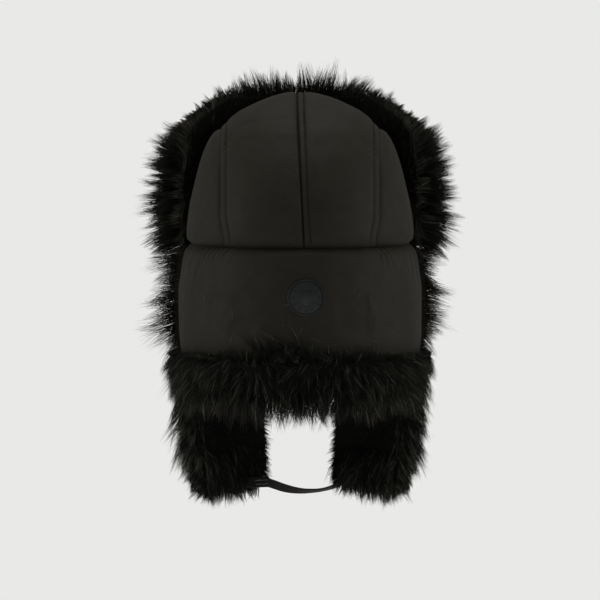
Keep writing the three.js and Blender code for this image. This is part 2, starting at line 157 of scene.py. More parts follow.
def ripple(a: Array, b: Array, seed: float) -> Array:
    """Gives a smooth repeatable value from about -1 to 1 that varies over two coordinates.

    Args:
        a: first coordinate.
        b: second coordinate.
        seed: which of many patterns.

    Returns:
        The value at each place.
    """
    first = np.sin(1.7 * a + 2.3 * np.sin(0.9 * b + seed) + 1.3 * seed)
    second = np.sin(2.6 * b - 1.9 * np.sin(1.1 * a - 0.7 * seed) + 2.1 * seed)
    third = np.sin(0.8 * a + 1.2 * b + 3.7 * seed)
    return (first + second + third) / 3


def smooth_curve(x: Array, knots: Array, values: Array) -> Array:
    """Interpolates a table without overshoot, with slopes that match at its rows.

    Args:
        x: places to read.
        knots: rising places of the table's rows.
        values: the table's values at its rows.

    Returns:
        The value at each place.
    """
    step = np.diff(knots)
    slope = np.diff(values) / step
    bend = np.zeros_like(values)
    bend[0], bend[-1] = slope[0], slope[-1]
    turn = slope[:-1] * slope[1:] > 0
    both = slope[:-1] + slope[1:]
    bend[1:-1] = np.where(turn, 2 * slope[:-1] * slope[1:] / np.where(both == 0, 1, both), 0)
    x = np.clip(x, knots[0], knots[-1])
    k = np.clip(np.searchsorted(knots, x, side="right") - 1, 0, len(step) - 1)
    t = (x - knots[k]) / step[k]
    a = values[k] * (1 + 2 * t) * (1 - t) ** 2 + bend[k] * step[k] * t * (1 - t) ** 2
    b = values[k + 1] * t * t * (3 - 2 * t) + bend[k + 1] * step[k] * t * t * (t - 1)
    return a + b


def swell(value: Array) -> Array:
    """Bends a sine or cosine so that an ellipse becomes the hat's squarer oval."""
    return np.sign(value) * np.abs(value) ** (2 / PLAN_POWER)


@dataclass(frozen=True)
class Oval:
    """A wall whose plan is an oval at every height.

    Attributes:
        rows: height, half width and half depth of each section, in millimetres, from low to high.
    """

    rows: tuple[Row, ...]

    def size(self, z: Array) -> tuple[Array, Array]:
        """Returns the half width and the half depth at a height.

        Args:
            z: heights.

        Returns:
            Half width and half depth at each height.
        """
        table = np.array(self.rows) * MM
        width = smooth_curve(z, table[:, 0], table[:, 1])
        return width, smooth_curve(z, table[:, 0], table[:, 2])

    def point(self, angle: Array, z: Array, outward: Array = 0.0) -> Array:
        """Finds points of the wall.

        Args:
            angle: degrees from the middle of the back.
            z: heights.
            outward: distance out from the wall.

        Returns:
            One point for each angle and height.
        """
        angle, z, outward = np.broadcast_arrays(angle, z, outward)
        width, depth = self.size(z)
        x = (width + outward) * swell(np.sin(np.radians(angle)))
        y = -(depth + outward) * swell(np.cos(np.radians(angle)))
        return np.stack([x, y, z], axis=-1)


BODY_WALL = Oval((
    (-114, 78, 86), (-80, 83, 92), (-50, 87, 98), (-20, 91, 105), (0, 94.8, 110),
    (16, 96.2, 112), (47, 96.2, 112), (60, 94.8, 111), (79, 92.4, 108.5), (85, 86, 102),
))

VISOR_WALL = Oval((
    (78, 90.9, 108), (104, 90.9, 108), (130, 89.5, 103), (155, 86.5, 93), (170, 85, 84),
    (200, 82, 66),
))


# Finishes


def plug(tree: Tree, socket: Socket, value: object) -> None:
    """Links a socket to another, or gives it a plain value.

    Args:
        tree: the node tree that holds both.
        socket: the socket to fill.
        value: the other socket or the value.
    """
    if isinstance(value, Socket):
        tree.links.new(value, socket)
    else:
        socket.default_value = value


def add_node(tree: Tree, kind: str, inputs: dict | None = None, **settings: object) -> Node:
    """Adds a node to a tree.

    Args:
        tree: the tree.
        kind: the node's type without its Shader prefix.
        inputs: values or sockets for the node's inputs.
        settings: the node's own properties.

    Returns:
        The new node.
    """
    node = tree.nodes.new("ShaderNode" + kind)
    for name, value in settings.items():
        setattr(node, name, value)
    for name, value in (inputs or {}).items():
        plug(tree, node.inputs[name], value)
    return node


def reckon(tree: Tree, operation: str, *values: object) -> Socket:
    """Adds a calculation to a tree and returns its result."""
    return add_node(tree, "Math", dict(enumerate(values)), operation=operation).outputs[0]


class Shader:
    """Builds one material's nodes around a Principled shader."""

    def __init__(self, name: str) -> None:
        """Starts an empty material.

        Args:
            name: the material's name.
        """
        self.material = bpy.data.materials.new(name)
        self.material.use_nodes = True
        self.tree = self.material.node_tree
        self.surface = self.tree.nodes["Principled BSDF"]

    def add(self, kind: str, inputs: dict | None = None, **settings: object) -> Node:
        """Adds a node to the material, as add_node does."""
        return add_node(self.tree, kind, inputs, **settings)

    def noise(self, place: Socket, scale: float, detail: float) -> Socket:
        """Adds noise and returns its value."""
        inputs = {"Vector": place, "Scale": scale, "Detail": detail}
        return self.add("TexNoise", inputs).outputs[0]

    def vary(self, value: Socket, low: float, high: float, start: float = 0.0,
             end: float = 1.0) -> Socket:
        """Maps a value from start to end onto low to high."""
        return self.add("MapRange", {0: value, 1: start, 2: end, 3: low, 4: high}).outputs[0]

    def dim(self, colour: object, share: Socket) -> Socket:
        """Scales a colour's brightness."""
        return self.add("VectorMath", {0: colour, 3: share}, operation="SCALE").outputs[0]

    def relief(self, height: Socket, distance: float, strength: float,
               **under: Socket) -> Socket:
        """Adds relief, over another one if that is given as Normal."""
        inputs = {"Height": height, "Distance": distance, "Strength": strength, **under}
        return self.add("Bump", inputs).outputs[0]

    def blend(self, first: Row, second: Row, share: Socket) -> Socket:
        """Mixes two colours by a share.

        Args:
            first: colour at share 0.
            second: colour at share 1.
            share: the socket that gives the share.

        Returns:
            The mixed colour's socket.
        """
        node = self.add("Mix", data_type="RGBA")
        # The colour sockets of this node share their names with its number sockets
        for index, value in ((0, share), (6, (*first, 1)), (7, (*second, 1))):
            plug(self.tree, node.inputs[index], value)
        return node.outputs[2]

    def set(self, **values: object) -> None:
        """Sets or links the Principled shader's sockets.

        Args:
            values: values or sockets by socket name, with underscores for spaces.
        """
        for name, value in values.items():
            label = name.replace("_", " ").title().replace("Ior", "IOR")
            plug(self.tree, self.surface.inputs[label], value)


def new_group(name: str, inputs: dict[str, str], outputs: Sequence[str]) -> Tree:
    """Makes an empty shader node group with named sockets.

    Args:
        name: the group's name.
        inputs: socket types by input name.
        outputs: names of its outputs, which are numbers.

    Returns:
        The group, with its input and output nodes named "in" and "out".
    """
    group = bpy.data.node_groups.new(name, "ShaderNodeTree")
    for names, way in ((inputs, "INPUT"), (dict.fromkeys(outputs, "Float"), "OUTPUT")):
        for label, kind in names.items():
            group.interface.new_socket(label, in_out=way, socket_type="NodeSocket" + kind)
    group.nodes.new("NodeGroupInput").name = "in"
    group.nodes.new("NodeGroupOutput").name = "out"
    return group


def weave_group() -> Tree:
    """Plain weave: crossing threads from the piece's own flat coordinates.

    Returns:
        A group from Place and Pitch to Height and Gaps.
    """
    group = new_group("plain_weave", {"Place": "Vector", "Pitch": "Float"}, ("Height", "Gaps"))
    source = group.nodes["in"].outputs
    scale = reckon(group, "DIVIDE", math.tau, source["Pitch"])
    turned = add_node(group, "VectorMath", {0: source["Place"], 3: scale}, operation="SCALE")
    axes = add_node(group, "SeparateXYZ", {0: turned.outputs[0]})
    waves = [reckon(group, "SINE", axes.outputs[k]) for k in (0, 1)]
    ridge = reckon(group, "MULTIPLY_ADD", reckon(group, "MULTIPLY", *waves), 0.5, 0.5)
    plug(group, group.nodes["out"].inputs["Height"], ridge)
    plug(group, group.nodes["out"].inputs["Gaps"], reckon(group, "POWER", ridge, 3.0))
    return group


def crease_group() -> Tree:
    """Soft creases of thin cloth over padding, from object coordinates.

    Returns:
        A group from Place and Size to Height and Wear, the broad creases' share, low in their
        hollows.
    """
    group = new_group("soft_creases", {"Place": "Vector", "Size": "Float"}, ("Height", "Wear"))
    source = group.nodes["in"].outputs
    scale = reckon(group, "DIVIDE", 1.0, source["Size"])
    broad = add_node(group, "TexNoise", {"Vector": source["Place"], "Scale": scale,
                                         "Detail": 4.0, "Distortion": 0.8})
    fine = add_node(group, "TexNoise", {"Vector": source["Place"], "Detail": 3.0,
                                        "Scale": reckon(group, "MULTIPLY", scale, 4.0)})
    both = reckon(group, "MULTIPLY_ADD", fine.outputs[0], 0.3, broad.outputs[0])
    # Wear follows the broad creases' height: a colour darkened where it is low paints shade into
    # their hollows
    wear_and_shade = add_node(group, "MapRange", {0: broad.outputs[0], 1: 0.35, 2: 0.7})
    plug(group, group.nodes["out"].inputs["Height"], both)
    plug(group, group.nodes["out"].inputs["Wear"], wear_and_shade.outputs[0])
    return group


class Effects:
    """The node groups that several finishes share, each made when it is first asked for."""

    makers = {"weave": weave_group, "creases": crease_group}
    made: dict[str, Tree] = {}

    @classmethod
    def place(cls, shader: Shader, name: str, inputs: dict) -> dict[str, Socket]:
        """Adds a shared group to a material.

        Args:
            shader: the material's builder.
            name: the effect's name in makers.
            inputs: values or sockets for the group's inputs.

        Returns:
            The group's outputs.
        """
        if name not in cls.made:
            cls.made[name] = cls.makers[name]()
        node = shader.add("Group", node_tree=cls.made[name])
        for label, value in inputs.items():
            plug(shader.tree, node.inputs[label], value)
        return node.outputs


@dataclass(frozen=True)
class Cloth:
    """A woven cloth finish.

    Attributes:
        name: the material's name.
        deep: colour in the hollows of the soft creases, a painted shade.
        light: colour on their raised parts, where the cloth is worn and flat.
        pitch: distance between threads.
        weave_depth: height of a thread.
        crease_size: width of the soft creases.
        crease_depth: height of the soft creases.
        roughness: mean roughness.
        sheen: weight of the soft fibre sheen.
        shine: strength of plain reflections.
    """

    name: str
    deep: Row
    light: Row
    pitch: float = 0.42 * MM
    weave_depth: float = 0.03 * MM
    crease_size: float = 16 * MM
    crease_depth: float = 0.5 * MM
    roughness: float = 0.55
    sheen: float = 0.02
    shine: float = 0.16

    def material(self) -> Material:
        """Builds the cloth's material.

        Returns:
            The material.
        """
        shader = Shader(self.name)
        places = shader.add("TexCoord").outputs
        weave = Effects.place(shader, "weave", {"Place": places["UV"], "Pitch": self.pitch})
        creases = Effects.place(shader, "creases",
                                {"Place": places["Object"], "Size": self.crease_size})
        # The deep colour in the creases' hollows is painted shade; the light colour on the raised
        # parts stands for wear
        colour = shader.blend(self.deep, self.light, creases["Wear"])
        # The points' fold number scales the colour: towards a fifth where shade is painted, up to
        # 1.8 times where a highlight is painted
        fold = shader.add("Attribute", attribute_name="fold").outputs["Fac"]
        folds = shader.relief(creases["Height"], self.crease_depth, 0.6)
        shader.set(
            base_color=shader.dim(colour, shader.vary(fold, 1.8, 0.2, start=-1.0)),
            roughness=shader.vary(weave["Gaps"], self.roughness - 0.05, self.roughness + 0.07),
            normal=shader.relief(weave["Height"], self.weave_depth, 0.5, Normal=folds),
            specular_ior_level=self.shine, sheen_weight=self.sheen, sheen_roughness=0.45,
        )
        return shader.material


@dataclass(frozen=True)
class Hair:
    """A hair finish that reads each strand's own tone.

    Attributes:
        name: the material's name.
        dark: colour of most strands.
        light: colour of the few light strands.
        roughness: roughness of the strands.
        shine: strength of plain reflections.
    """

    name: str
    dark: Row
    light: Row
    roughness: float = 0.5
    shine: float = 0.1

    def material(self) -> Material:
        """Builds the hair's material.

        Returns:
            The material.
        """
        shader = Shader(self.name)
        tone = shader.add("Attribute", attribute_name="tone").outputs["Fac"]
        shader.set(
            base_color=shader.blend(self.dark, self.light, tone),
            roughness=shader.vary(tone, self.roughness, self.roughness - 0.1),
            specular_ior_level=self.shine,
        )
        return shader.material


@dataclass(frozen=True)
class Underfur:
    """The dense dark base below the strands, with fine combed relief.

    Attributes:
        name: the material's name.
        colour: the base's colour.
    """

    name: str
    colour: Row

    def material(self) -> Material:
        """Builds the base's material.

        Returns:
            The material.
        """
        shader = Shader(self.name)
        place = shader.add("TexCoord").outputs["Object"]
        combed = shader.add("Mapping", {"Vector": place, "Scale": (900.0, 900.0, 110.0)})
        fibres = shader.noise(combed.outputs[0], 1.0, 3.0)
        patches = shader.vary(shader.noise(place, 60.0, 2.0), 0.5, 1.3, start=0.3, end=0.7)
        shader.set(
            base_color=shader.dim(self.colour, patches), roughness=0.85,
            specular_ior_level=0.1, normal=shader.relief(fibres, 1.2 * MM, 0.9),
        )
        return shader.material


@dataclass(frozen=True)
class Rubber:
    """Matt moulded rubber with a fine grain.

    Attributes:
        name: the material's name.
        colour: the rubber's colour.
        roughness: mean roughness.
    """

    name: str
    colour: Row
    roughness: float = 0.5

    def material(self) -> Material:
        """Builds the rubber's material.

        Returns:
            The material.
        """
        shader = Shader(self.name)
        place = shader.add("TexCoord").outputs["Object"]
        grain = shader.noise(place, 2600.0, 2.0)
        # The creases add no relief to the rubber, so here this share only varies tone and
        # roughness as patchy wear
        wear_and_shade = Effects.place(shader, "creases", {"Place": place, "Size": 9 * MM})["Wear"]
        shader.set(
            base_color=shader.dim(self.colour, shader.vary(wear_and_shade, 0.85, 1.2)),
            roughness=shader.vary(wear_and_shade, self.roughness - 0.06, self.roughness + 0.08),
            normal=shader.relief(grain, 0.05 * MM, 0.4), specular_ior_level=0.15,
        )
        return shader.material


# Modelling helpers


def clear_selection() -> None:
    """Leaves edit mode and deselects everything."""
    if bpy.context.object and bpy.context.object.mode != "OBJECT":
        bpy.ops.object.mode_set(mode="OBJECT")
    bpy.ops.object.select_all(action="DESELECT")


def make_active(piece: Piece) -> None:
    """Selects one object alone and makes it the active one.

    Args:
        piece: the piece.
    """
    clear_selection()
    piece.select_set(True)
    bpy.context.view_layer.objects.active = piece


def apply_modifier(piece: Piece, kind: str, **settings: object) -> None:
    """Adds a modifier to a piece and applies it.

    Args:
        piece: the piece.
        kind: the modifier's type.
        settings: the modifier's own properties.
    """
    make_active(piece)
    modifier = piece.modifiers.new(kind.lower(), kind)
    for name, value in settings.items():
        setattr(modifier, name, value)
    bpy.ops.object.modifier_apply(modifier=modifier.name)


def read_points(mesh: bpy.types.Mesh) -> Array:
    """Returns a mesh's points as rows.

    Args:
        mesh: the mesh to read.

    Returns:
        One row for each point.
    """
    points = np.empty(len(mesh.vertices) * 3)
    mesh.vertices.foreach_get("co", points)
    return points.reshape(-1, 3)


def write_points(mesh: bpy.types.Mesh, points: Array) -> None:
    """Moves a mesh's points to their places."""
    mesh.vertices.foreach_set("co", points.astype(np.float64).ravel())
    mesh.update()


def paint(piece: Piece, name: str, values: Array) -> None:
    """Stores one number for each point of a piece, for its material or its cloth to read."""
    attribute = piece.data.attributes.new(name, "FLOAT", "POINT")
    attribute.data.foreach_set("value", values.astype(np.float32))


def turn_faces_out() -> None:
    """Turns the faces of the active piece outwards, and leaves edit mode."""
    bpy.ops.object.mode_set(mode="EDIT")
    bpy.ops.mesh.select_all(action="SELECT")
    bpy.ops.mesh.normals_make_consistent(inside=False)
    bpy.ops.object.mode_set(mode="OBJECT")


def net_piece(name: str, columns: int, rows: int, place: Place,
              cloth_size: tuple[float, float], marks: dict[str, Array] | None = None) -> Piece:
    """Adds a grid and shapes it to a surface.

    Args:
        name: the piece's name.
        columns: faces along the first share.
        rows: faces along the second share.
        place: finds a point for each pair of shares, which run from 0 to 1.
        cloth_size: flat width and length of the cloth, which its own coordinates follow.
        marks: numbers to store at each point, which place fills in.

    Returns:
        The open surface.
    """
    clear_selection()
    bpy.ops.mesh.primitive_grid_add(x_subdivisions=columns, y_subdivisions=rows, size=1)
    piece = bpy.context.object
    piece.name = name
    piece.data.name = name
    shares = read_points(piece.data)[:, :2] + 0.5
    write_points(piece.data, place(shares[:, 0], shares[:, 1]))
    for label, values in (marks or {}).items():
        paint(piece, label, values)
    flat = piece.data.uv_layers.active.data
    uv = np.empty(len(flat) * 2)
    flat.foreach_get("uv", uv)
    flat.foreach_set("uv", (uv.reshape(-1, 2) * np.array(cloth_size)).ravel())
    bpy.ops.object.mode_set(mode="EDIT")
    bpy.ops.mesh.select_all(action="SELECT")
    bpy.ops.mesh.remove_doubles(threshold=0.01 * MM)
    turn_faces_out()
    return piece


def face_outwards(piece: Piece, centre: Vector) -> None:
    """Turns an open surface's faces so that they point away from a centre.

    Args:
        piece: the piece.
        centre: the place that the faces turn away from.
    """
    mesh = piece.data
    away = sum((face.center - centre).dot(face.normal) * face.area for face in mesh.polygons)
    if away < 0:
        mesh.flip_normals()


def relax_cloth(piece: Piece, swelling: "Swelling") -> None:
    """Lets a padded panel swell as cloth between its seams, and keeps the result.

    Args:
        piece: the open surface, facing outwards, with a "hold" number at each point that
            says how firmly it is held, 1 at seams and stitches.
        swelling: how the cloth grows and swells.
    """
    held = piece.data.attributes["hold"]
    hold = np.empty(len(piece.data.vertices), dtype=np.float32)
    held.data.foreach_get("value", hold)
    piece.data.attributes.remove(held)
    make_active(piece)
    group = piece.vertex_groups.new(name="hold")
    for index in np.flatnonzero(hold > 0.02):
        group.add([int(index)], float(hold[index]), "REPLACE")
    start = read_points(piece.data)
    modifier = piece.modifiers.new("cloth", "CLOTH")
    cloth = modifier.settings
    cloth.quality = swelling.quality
    cloth.mass = swelling.mass
    cloth.tension_stiffness = cloth.compression_stiffness = swelling.tension
    cloth.shear_stiffness = swelling.shear
    cloth.bending_stiffness = swelling.stiffness
    cloth.use_pressure = True
    cloth.uniform_pressure_force = swelling.pressure
    cloth.shrink_min = cloth.shrink_max = -swelling.growth
    cloth.vertex_group_mass = group.name
    cloth.effector_weights.gravity = 0
    modifier.collision_settings.use_collision = False
    scene = bpy.context.scene
    for frame_number in range(1, swelling.frames + 1):
        scene.frame_set(frame_number)
    settled = piece.evaluated_get(bpy.context.evaluated_depsgraph_get())
    moved = read_points(settled.data) - start
    piece.modifiers.remove(modifier)
    piece.vertex_groups.remove(group)
    scene.frame_set(1)
    far = np.linalg.norm(moved, axis=1, keepdims=True)
    log.info("%s: cloth moved up to %.1f mm", piece.name, far.max() / MM)
    moved *= np.minimum(1, swelling.cap / np.maximum(far, 1e-9))
    write_points(piece.data, start + moved)


def thicken(piece: Piece, depth: float, rim: float) -> None:
    """Makes a wall of a surface by going inwards, and rounds its rim.

    Args:
        piece: the open surface, facing outwards.
        depth: the wall's thickness.
        rim: radius of the rounded rim.
    """
    apply_modifier(piece, "SOLIDIFY", thickness=depth, offset=-1.0, use_even_offset=False,
                   use_rim=True, use_quality_normals=True)
    apply_modifier(piece, "BEVEL", width=rim, segments=3, limit_method="ANGLE",
                   angle_limit=math.radians(75), harden_normals=False)
    make_active(piece)
    bpy.ops.object.shade_smooth()


def wall_piece(name: str, columns: int, rows: int, place: Place,
               cloth_size: tuple[float, float], middle_z: float, depth: float, rim: float,
               marks: dict[str, Array] | None = None,
               swelling: "Swelling | None" = None) -> Piece:
    """Builds a wall from its outer surface.

    Args:
        name: the piece's name.
        columns: faces along the first share.
        rows: faces along the second share.
        place: finds a point for each pair of shares, which run from 0 to 1.
        cloth_size: flat width and length of the cloth.
        middle_z: height on the hat's middle axis that the outer faces look away from.
        depth: the wall's thickness.
        rim: radius of the rounded rim.
        marks: numbers to store at each point, which place fills in.
        swelling: how the surface swells as cloth, if it does.

    Returns:
        The closed piece.
    """
    piece = net_piece(name, columns, rows, place, cloth_size, marks)
    face_outwards(piece, Vector((0, 0, middle_z)))
    if swelling:
        relax_cloth(piece, swelling)
    thicken(piece, depth, rim)
    return piece


def finish_piece(piece: Piece, material: Material,
                 nodes: Sequence[str] = ()) -> None:
    """Gives a piece its material, its body and the nodes that it stands for.

    Args:
        piece: the finished piece.
        material: its material.
        nodes: the solids that it replaces.
    """
    piece.data.materials.clear()
    piece.data.materials.append(material)
    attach(piece, BODY)
    if nodes:
        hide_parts(*nodes)
    log.info("%s: %d faces", piece.name, len(piece.data.polygons))


def ring(middle: Array, across: Array, up: Array, radius: Array, sides: int) -> list[Array]:
    """Returns the corners of a ring round each middle."""
    turns = [k * math.tau / sides for k in range(sides)]
    return [middle + (across * math.cos(turn) + up * math.sin(turn)) * radius for turn in turns]


def tube_faces(sides: int, stretches: int) -> list[tuple[int, int, int]]:
    """Lists the triangles between the rings of a tube.

    Args:
        sides: corners of each ring.
        stretches: number of rings after the first.

    Returns:
        The triangles' corners.
    """
    faces = []
    for start in range(0, stretches * sides, sides):
        for k in range(sides):
            a, b = start + k, start + (k + 1) % sides
            faces += [(a, b, b + sides), (a, b + sides, a + sides)]
    return faces


def mesh_from_arrays(name: str, points: Array, pattern: Sequence[tuple[int, int, int]],
                     step: int) -> Piece:
    """Makes one smooth-shaded object of many parts that are built alike.

    Args:
        name: the object's name.
        points: rows of points, part after part.
        pattern: the triangles of one part.
        step: number of points in a part.

    Returns:
        The object.
    """
    offsets = np.arange(len(points) // step)[:, None, None] * step
    triangles = (np.array(pattern)[None] + offsets).reshape(-1, 3)
    mesh = bpy.data.meshes.new(name)
    mesh.vertices.add(len(points))
    mesh.vertices.foreach_set("co", points.astype(np.float32).ravel())
    mesh.loops.add(triangles.size)
    mesh.loops.foreach_set("vertex_index", triangles.astype(np.int32).ravel())
    mesh.polygons.add(len(triangles))
    mesh.polygons.foreach_set("loop_start", np.arange(0, triangles.size, 3, dtype=np.int32))
    mesh.update(calc_edges=True)
    mesh.polygons.foreach_set("use_smooth", np.ones(len(triangles), dtype=bool))
    piece = bpy.data.objects.new(name, mesh)
    bpy.context.scene.collection.objects.link(piece)
    return piece


@dataclass(frozen=True)
class Swelling:
    """How a padded panel swells as cloth.

    Attributes:
        growth: how much longer the cloth is than its seams, as a share.
        pressure: outward push of the wadding.
        stiffness: resistance to bending.
        cap: the most that a point may move.
        mass: the cloth's mass for each point.
        tension: resistance to stretching.
        shear: resistance to shearing.
        quality: fineness of the simulation.
        frames: steps of the simulation.
    """

    growth: float = 0.005
    pressure: float = 0.5
    stiffness: float = 1.0
    cap: float = 1.2 * MM
    mass: float = 0.15
    tension: float = 25
    shear: float = 8
    quality: int = 6
    frames: int = 12


# Fur


@dataclass(frozen=True)
class Coat:
    """How the strands of one layer of fur are made.

    Attributes:
        count: number of strands.
        thickness: a strand's width at its root.
        joints: straight stretches in a strand.
        wisp: number of strands that lean together into one wisp.
        pull: how far a wisp's strands close up at their tips, from 0 to 1.
        stray: how far a single strand's direction varies.
        sway: how far whole locks lean one way or another.
        uneven: how far the lengths of wisps vary, as a share.
        ragged: share of its length that the shortest strand of a wisp lacks.
        light_share: share of light strands.
        grey: tone of the lightest among the other strands.
        seed: start of the layer's random draws.
    """

    count: int
    thickness: float = 0.4 * MM
    joints: int = 2
    wisp: int = 20
    pull: float = 0.85
    stray: float = 0.16
    sway: float = 0.3
    uneven: float = 0.3
    ragged: float = 0.5
    light_share: float = 0.025
    grey: float = 0.045
    seed: int = 1


@dataclass
class Roots:
    """Where strands start, which way they go and how long they are.

    Attributes:
        points: root places.
        rise: direction at the root.
        sweep: direction at the tip.
        length: length of each strand.
    """

    points: Array
    rise: Array
    sweep: Array
    length: Array


Growth = Callable[[Array, Array], Roots]

# Light strands are thinner, a little longer and of many tones
LIGHT_WIDTH = 0.52
LIGHT_REACH = 1.05
DULLEST_LIGHT = 0.15
TONE_RANGE = 0.8
# Share of its width that a strand loses towards its tip's last stretch
TIP_TAPER = 0.55


def even_shares(count: int, aspect: float, rng: np.random.Generator) -> tuple[Array, Array]:
    """Spreads pairs of shares evenly but irregularly over a square.

    Args:
        count: about how many pairs.
        aspect: how many times more columns than rows.
        rng: the layer's random draws.

    Returns:
        First and second shares.
    """
    columns = max(1, round(math.sqrt(count * aspect)))
    rows = max(1, round(count / columns))
    i, j = np.meshgrid(np.arange(columns), np.arange(rows), indexing="ij")
    jitter = rng.random((2, i.size))
    return (i.ravel() + jitter[0]) / columns, (j.ravel() + jitter[1]) / rows


def bend_strands(roots: Roots, joints: int) -> Array:
    """Draws each strand as straight stretches that turn from its rise to its sweep.

    Args:
        roots: the strands' roots.
        joints: stretches in a strand.

    Returns:
        Points along each strand, root first.
    """
    steps = [roots.points]
    for k in range(joints):
        share = (k + 0.5) / joints
        way = unit(mix(roots.rise, roots.sweep, share))
        steps.append(steps[-1] + way * (roots.length / joints)[:, None])
    return np.stack(steps, axis=1)


def lean_locks(points: Array, seed: float) -> Array:
    """Returns a slowly varying direction over the fur, so that neighbouring wisps lean alike.

    Args:
        points: places on the hat.
        seed: which of many patterns.

    Returns:
        One direction for each place.
    """
    a, b, c = (points / (11 * MM)).T
    return np.stack([ripple(a + c, b - 0.6 * c, seed), ripple(b + c, a, seed + 2),
                     ripple(c - a, b + 0.4 * a, seed + 4)], axis=-1)


def grow_fur(name: str, coat: Coat, growth: Growth, aspect: float) -> Piece:
    """Makes one layer of fur as a single mesh of tapering three-sided strands.

    Args:
        name: the piece's name.
        coat: how the strands are made.
        growth: finds the roots for pairs of shares.
        aspect: width over height of the furred surface.

    Returns:
        The piece, with each strand's tone as an attribute.
    """
    rng = np.random.default_rng(coat.seed)
    roots = growth(*even_shares(coat.count, aspect, rng))
    leaders = growth(*even_shares(max(8, coat.count // coat.wisp), aspect, rng))
    count, wisps = len(roots.points), len(leaders.points)
    for group, stray in ((leaders, 1.6 * coat.stray), (roots, coat.stray)):
        lean = coat.sway * lean_locks(group.points, coat.seed)
        size = group.points.shape
        group.rise = unit(group.rise + 0.5 * lean + 0.6 * stray * rng.normal(size=size))
        group.sweep = unit(group.sweep + lean + stray * rng.normal(size=size))
    tree = kdtree.KDTree(wisps)
    for k, place in enumerate(leaders.points):
        tree.insert(place, k)
    tree.balance()
    owner = np.array([tree.find(place)[1] for place in roots.points])
    stretch = 1 + coat.uneven * rng.uniform(-1, 0.55, wisps)
    leaders.length = leaders.length * stretch
    roots.length = roots.length * stretch[owner]
    lead = bend_strands(leaders, coat.joints)
    paths = bend_strands(roots, coat.joints)

    # A wisp's strands keep their roots and close up towards the leader's tip
    pull = coat.pull * rng.uniform(0.3, 1.0, count) ** 0.6
    for k in range(1, coat.joints + 1):
        share = k / coat.joints
        spread = (paths[:, 0] - lead[owner, 0]) * (1 - share)
        paths[:, k] = mix(paths[:, k], lead[owner, k] + spread, (pull * share)[:, None])
    light = rng.random(count) < coat.light_share
    reach = np.where(light, LIGHT_REACH, 1 - coat.ragged * rng.random(count) ** 1.7)
    paths = paths[:, :1] + (paths - paths[:, :1]) * reach[:, None, None]

    bright = DULLEST_LIGHT + TONE_RANGE * rng.random(count) ** 1.8
    tone = np.where(light, bright, rng.uniform(0.0, coat.grey, count))
    widths = coat.thickness * rng.uniform(0.7, 1.15, count) * np.where(light, LIGHT_WIDTH, 1)
    piece = strand_mesh(name, paths, widths, rng)
    paint(piece, "tone", np.repeat(tone, 3 * coat.joints + 1))
    return piece


def strand_mesh(name: str, paths: Array, widths: Array, rng: np.random.Generator) -> Piece:
    """Wraps closed three-sided tapering skins round strand paths.

    Args:
        name: the piece's name.
        paths: points along each strand, root first.
        widths: each strand's width at its root.
        rng: draws for how each strand is turned.

    Returns:
        One mesh with all strands.
    """
    count, joints = len(paths), paths.shape[1] - 1
    along = unit(paths[:, 1] - paths[:, 0])
    hint = unit(rng.normal(size=(count, 3)))
    across = unit(np.cross(along, hint))
    through = np.cross(along, across)
    corners = []
    for k in range(joints):
        taper = widths * (1 - TIP_TAPER * (k / joints) ** 1.5) / 2
        corners += ring(paths[:, k], across, through, taper[:, None], 3)
    points = np.stack([*corners, paths[:, -1]], axis=1).reshape(-1, 3)
    last, tip = 3 * (joints - 1), 3 * joints
    faces = [(0, 2, 1), *tube_faces(3, joints - 1)]
    faces += [(last + corner, last + (corner + 1) % 3, tip) for corner in range(3)]
    return mesh_from_arrays(name, points, faces, tip + 1)


def grow_layers(layers: Sequence[tuple[str, Coat, Growth, float]], hair: Material) -> None:
    """Grows and dresses layers of fur, each a name, a coat, its roots and its aspect."""
    for name, coat, growth, aspect in layers:
        finish_piece(grow_fur(name, coat, growth, aspect), hair)


def pelt_piece(name: str, columns: int, rows: int, place: Place, depth: float, roll: float,
               lump: float, size: tuple[float, float], end_roll: float = 0.0,
               waist: float = -1.0) -> Piece:
    """Makes a closed pillow of underfur whose depth rolls down at its border.

    Args:
        name: the piece's name.
        columns: faces along the first share.
        rows: faces along the second share.
        place: finds the pelt's back surface.
        depth: full depth of the underfur.
        roll: distance from the border at which the depth is full.
        lump: height of the uneven tufts on its outside.
        size: width and height of the pelt.
        end_roll: distance from its two ends at which the depth is full, if it differs.
        waist: distance from its lower border at which it is slimmer, if anywhere.

    Returns:
        The closed piece.
    """
    piece = net_piece(name, columns, rows, place, size)
    face_outwards(piece, Vector((0, 0, 0.06)))
    uv = {}
    layer = piece.data.uv_layers.active.data
    for loop in piece.data.loops:
        uv[loop.vertex_index] = layer[loop.index].uv
    group = piece.vertex_groups.new(name="depth")
    for index, (u, v) in uv.items():
        end, edge = min(u, size[0] - u) / (end_roll or roll), min(v, size[1] - v) / roll
        share = 1 - (1 - min(1.0, max(0.0, min(end, edge)))) ** 2
        tuft = lump / depth * (0.5 + 0.5 * float(ripple(u * 420, v * 380, len(name))))
        slim = 1 - WAIST_SHARE * float(bump(v, waist, WAIST_REACH))
        group.add([index], max(0.04, math.sqrt(share) * (1 - tuft) * slim), "REPLACE")
    apply_modifier(piece, "SOLIDIFY", thickness=depth, offset=1.0, use_rim=True,
                   vertex_group="depth", thickness_vertex_group=0.0)
    make_active(piece)
    bpy.ops.object.shade_smooth()
    return piece


# Crown


